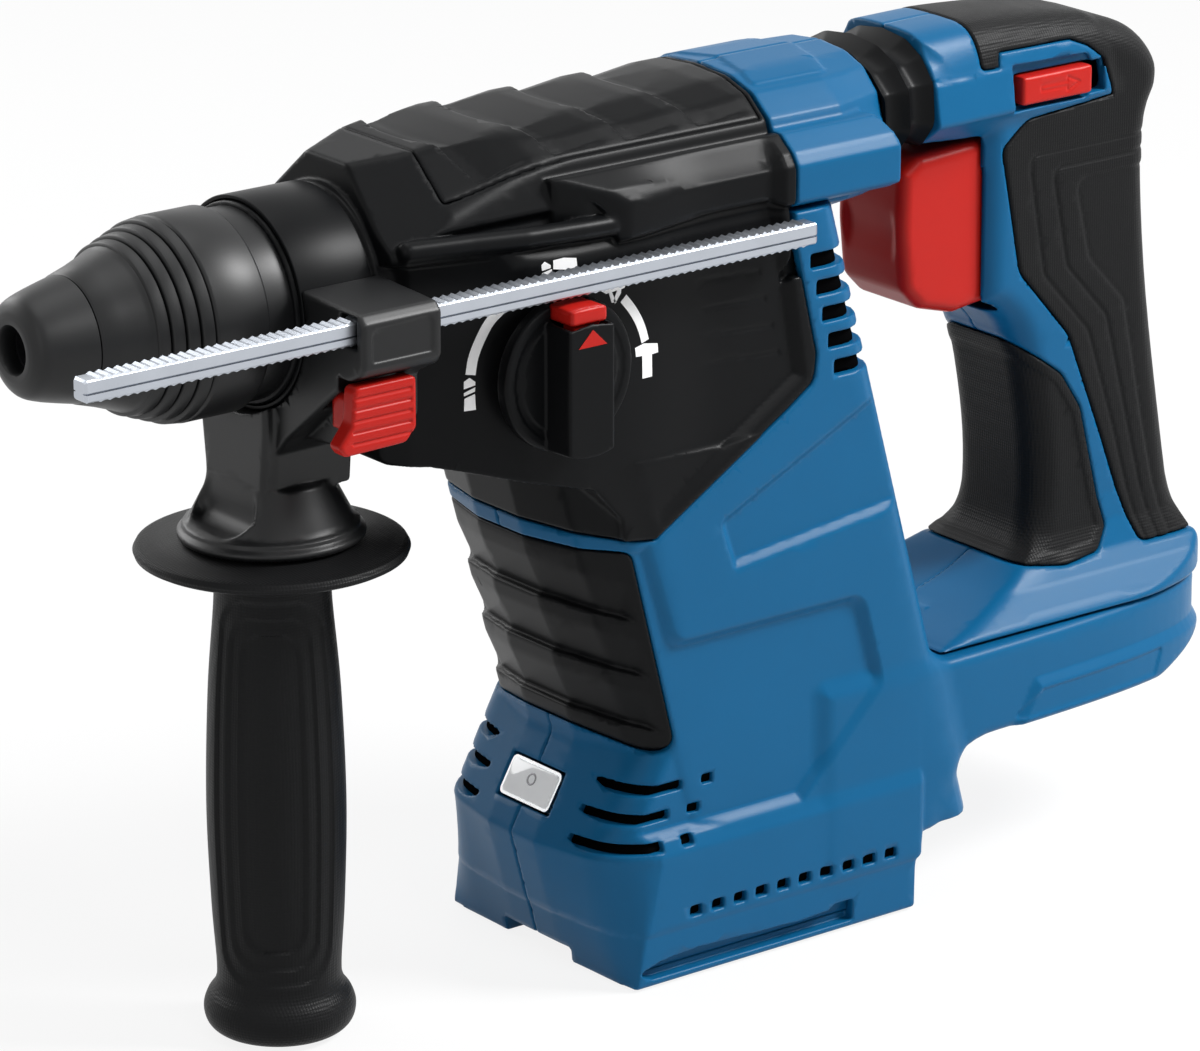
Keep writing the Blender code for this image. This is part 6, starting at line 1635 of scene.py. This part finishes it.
def buildFasteners():
    size = screwSizes
    head, socket = size["head"], size["socket"]

    def star(along, angle, radius):
        return np.where(np.abs(radius - socket) < 0.05, size["lobe"] * np.cos(6 * angle), 0.0)

    low = -size["depth"] - 0.2
    top = size["thick"] - size["depth"]
    floor = top - size["socketDepth"]
    profile = [(low, 0.0), (low, head), (top - 0.5, head), (top - 0.15, head - 0.25), (top, head - 0.8)]
    profile += [(top, socket), (floor, socket), (floor, 0.0)]
    for body, seats in screwSeats.items():
        screw = turned("screw_head", profile, darkSteel, "y", (0, 0, 0), 48, star)
        settle(scattered(body + "_screws", screw, seats, darkSteel), body, "dark_steel")

    size = bladeSizes
    blade = plate("contact_blade", size["corners"], "xy", *size["levels"], plainSteel, size["edge"])
    places = [(0.0, place, 0.0) for place in size["places"]]
    settle(scattered("contact_blades", blade, places, plainSteel), "casing", "bright_steel")
    print("fasteners and blades done")


buildFasteners()

# lens of the work light

lampRing = [(0.2, 1.1), (0.2, 1.6), (0.42, 1.6), (0.42, 1.1)]


def hoop(name, outer, inner, low, high, material):
    # a flat frame between two outlines of equal count
    rows = (outer, low), (outer, high), (inner, high), (inner, low)
    return skinned(name, [[(u, v, w) for u, v in ring] for ring, w in rows], material, "looped")


def buildLens():
    size = lensSizes

    def frameLine(less, radius):
        u, v = size["long"] / 2 - less, size["wide"] / 2 - less
        return rounded([(-u, -v, radius), (u, -v, radius), (u, v, radius), (-u, v, radius)])

    window = plate("lens_plate", frameLine(0.75, 1.0), "xy", -size["deep"], 0.30, clearLens, 0.25)
    edge = hoop("lens_edge", frameLine(0.0, 1.5), frameLine(0.8, 1.0), -size["deep"], 0.05, plainSteel)
    ring = turned("lamp_ring", filleted(lampRing, 0.08), darkSteel, "z", (0.9, 0, 0), 48)
    place = Matrix.Translation(toWorld(size["centre"]).tolist())
    tilt = Matrix.Rotation(size["slope"] - math.pi / 2, 4, "Y")
    back = Matrix.Translation((-axisPlace).tolist())
    for piece in (window, edge, ring):
        piece.data.transform(place @ tilt @ back)
        piece.data.update()
    settle(window, "casing", "light_lens", "light_lens")
    settle(edge, "casing", "bright_steel")
    settle(ring, "casing", "dark_steel")
    print("lens done")


buildLens()

# printed marks, laid on the housing's surface

markSizes = {"stroke": 2.3, "lift": 0.10, "sunk": 0.3}
pointerSizes = {"half": 4.1, "levels": (-10.6, -6.6), "across": (-49.42, -49.0)}
arcPaths = [
    [(100.4, -17.9), (101.2, -13.5), (103.1, -8.9), (105.2, -5.4), (108.6, -2.2)],
    [(140.6, -5.6), (143.1, -8.6), (145.1, -11.7), (146.4, -14.6), (147.2, -17.2)],
]
markPatches = [
    # drill
    [(98.9, -21.2), (98.9, -19.4), (100.2, -18.6), (101.5, -19.7), (101.5, -20.5)],
    [(98.9, -22.9), (98.9, -22.1), (101.5, -21.0), (101.4, -22.0)],
    [(98.9, -26.5), (99.0, -23.5), (101.4, -22.6), (101.6, -26.4)],
    # hammer
    [(144.4, -20.5), (144.1, -18.3), (146.9, -17.7), (151.1, -18.5), (151.3, -20.7), (149.6, -20.8)],
    [(146.4, -26.2), (146.3, -20.4), (149.3, -20.6), (149.4, -26.2)],
    # drill and hammer
    [(117.6, 4.9), (117.5, 6.2), (118.5, 6.9), (120.0, 5.9), (120.0, 5.2)],
    [(117.9, 3.7), (117.6, 4.3), (120.3, 4.9), (120.3, 4.1)],
    [(120.7, 4.8), (120.9, 6.8), (124.0, 6.9), (127.4, 6.3), (127.4, 4.3), (124.5, 4.1)],
    # free turning
    [(132.9, -2.0), (135.5, -3.6), (140.9, -3.1), (141.1, -2.3)],
    [(136.2, -3.3), (137.1, -6.0), (138.5, -6.2), (137.1, -3.3)],
    [(137.6, -5.7), (139.1, -2.5), (140.0, -2.5), (139.8, -4.2), (138.1, -6.4)],
]


def printed(name, outline, block, field, material):
    # a thin closed patch that lies on the surface
    outline = np.array(outline, float)
    y = surfaceAt(block, field, outline[:, 0], outline[:, 1])
    count = len(outline)
    points = [(u, h - markSizes["lift"], v) for (u, v), h in zip(outline, y)]
    points += [(u, h + markSizes["sunk"], v) for (u, v), h in zip(outline, y)]
    faces = [(step, (step + 1) % count, count + (step + 1) % count, count + step) for step in range(count)]
    half = count // 2
    for base in (0, count):
        for step in range(half - 1):
            faces.append((base + step, base + step + 1, base + count - 2 - step, base + count - 1 - step))
        if count % 2:
            faces.append((base + half - 1, base + half, base + half + 1))
    obj = meshObject(name, toWorld(points), faces, material, False)
    outward(obj)
    return obj


def band(path, width):
    # outline of a stroke: up one edge and back down the other
    path = flowing(path, 6)
    heading = np.gradient(path, axis=0)
    heading /= np.hypot(*heading.T)[:, None]
    aside = np.stack([-heading[:, 1], heading[:, 0]], 1) * width / 2
    return np.concatenate([path + aside, (path - aside)[::-1]])


def buildMarks():
    patches = [band(path, markSizes["stroke"]) for path in arcPaths] + markPatches
    pieces = [printed("mark", patch, housingBlock, housingField, whitePrint) for patch in patches]
    settle(joined("mode_marks", pieces), "casing", "black_plastic")
    centre, half, (low, top) = knobSizes["centre"][0], pointerSizes["half"], pointerSizes["levels"]
    pointer = [(centre - half, low), (centre + half, low), (centre, top)]
    pointer = plate("pointer_mark", pointer, "xz", *pointerSizes["across"], redPlastic)
    settle(pointer, "mode_knob", "red_control")
    print("marks done")


buildMarks()

# floor, light and camera

floorPlace = {"level": -0.0148, "half": 6, "glow": 0.86, "tone": (0.86, 0.86, 0.86, 1.0)}
worldLight = {"Color": (0.94, 0.97, 1.0, 1), "Strength": 0.11}
lampPlaces = {
    "keySoftbox": ((0.80, -0.60, 1.05), (0.0, 0.0, 0.08), 0.40, 0.40, 27.0),
    "topSoftbox": ((-0.10, 0.10, 1.25), (0.0, 0.0, 0.08), 0.9, 0.5, 3.0),
    "frontStrip": ((-1.15, -0.35, 0.55), (-0.05, 0.0, 0.08), 0.30, 0.9, 1.0),
    "farStrip": ((-0.30, 1.10, 0.60), (0.0, 0.0, 0.10), 0.9, 0.5, 6.0),
    "cameraFill": ((-0.12, -1.00, 1.10), (0.0, 0.0, 0.07), 0.45, 0.40, 3.0),
}
cameraSizes = {
    "lens": 183.0,
    "sensor": 36.0,
    "clip": (0.05, 30.0),
    "place": (-0.88746, -1.10282, 0.55915),
    "forward": (0.5838, 0.7473, -0.3173),
    "up": (0.1954, 0.2500, 0.9483),
}


def seenRays(graph):
    rays = ("Is Camera Ray", "Is Glossy Ray", "Is Transmission Ray")
    camera, glossy, through = (graph.node("ShaderNodeLightPath", out=kind) for kind in rays)
    return camera + glossy + through


def layFloor():
    # pale to the lamps, and close to white where it is seen
    size = floorPlace
    paint = Paint("paleFloor", Roughness=0.6, Base_Color=size["tone"])
    glow = paint.node("ShaderNodeEmission", None, {"Color": (1, 1, 1, 1)})
    sockets = {0: seenRays(paint) * size["glow"], 1: Wire(paint, paint.shader.outputs[0]), 2: glow}
    mix = paint.node("ShaderNodeMixShader", None, sockets)
    paint.feed(paint.tree.nodes["Material Output"].inputs[0], mix)
    half, low = size["half"], size["level"]
    corners = [(-half, -half, low), (half, -half, low), (half, half, low), (-half, half, low)]
    meshObject("floor", corners, [(0, 1, 2, 3)], paint.material)


def setWorld():
    # white to the camera and in reflections, dim as a light
    world = bpy.data.worlds.new("studio")
    bpy.context.scene.world = world
    world.use_nodes = True
    graph = Graph(world.node_tree)
    graph.tree.nodes.clear()
    plain = graph.node("ShaderNodeBackground", None, worldLight)
    white = graph.node("ShaderNodeBackground", None, {"Color": (1, 1, 1, 1)})
    mix = graph.node("ShaderNodeMixShader", None, {0: seenRays(graph), 1: plain, 2: white})
    graph.feed(graph.tree.nodes.new("ShaderNodeOutputWorld").inputs[0], mix)


def setLamps():
    for name, (place, aim, wide, high, power) in lampPlaces.items():
        light = bpy.data.lights.new(name, "AREA")
        light.shape = "RECTANGLE"
        light.size, light.size_y = wide, high
        light.energy = power
        obj = bpy.data.objects.new(name, light)
        obj.location = place
        obj.rotation_euler = (Vector(aim) - Vector(place)).to_track_quat("-Z", "Y").to_euler()
        bpy.context.scene.collection.objects.link(obj)


def setCamera():
    size = cameraSizes
    camera = bpy.data.cameras.new("camera")
    camera.lens, camera.sensor_width = size["lens"], size["sensor"]
    camera.clip_start, camera.clip_end = size["clip"]
    obj = bpy.data.objects.new("camera", camera)
    bpy.context.scene.collection.objects.link(obj)
    forward = Vector(size["forward"])
    right = forward.cross(Vector(size["up"])).normalized()
    up = right.cross(forward).normalized()
    basis = Matrix((right, up, -forward.normalized())).transposed().to_4x4()
    obj.matrix_world = Matrix.Translation(size["place"]) @ basis
    bpy.context.scene.camera = obj
    bpy.context.scene.view_settings.view_transform = "Standard"


layFloor()
setWorld()
setLamps()
setCamera()
print("stage, light and camera set")

# what stays from the frame

nodeFinish = {
    "blue_casing": blueShell,
    "black_plastic": blackShell,
    "black_rubber": bumperRubber,
    "red_control": redPlastic,
    "bright_steel": plainSteel,
    "dark_steel": darkSteel,
    "cast_aluminium": castAluminium,
    "copper_winding": copperWire,
    "circuit_board": boardGreen,
    "light_lens": clearLens,
}
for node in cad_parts.values():
    for index, material in enumerate(node.data.materials):
        kept = material.name.split(".")[0]
        if kept in nodeFinish:
            node.data.materials[index] = nodeFinish[kept]
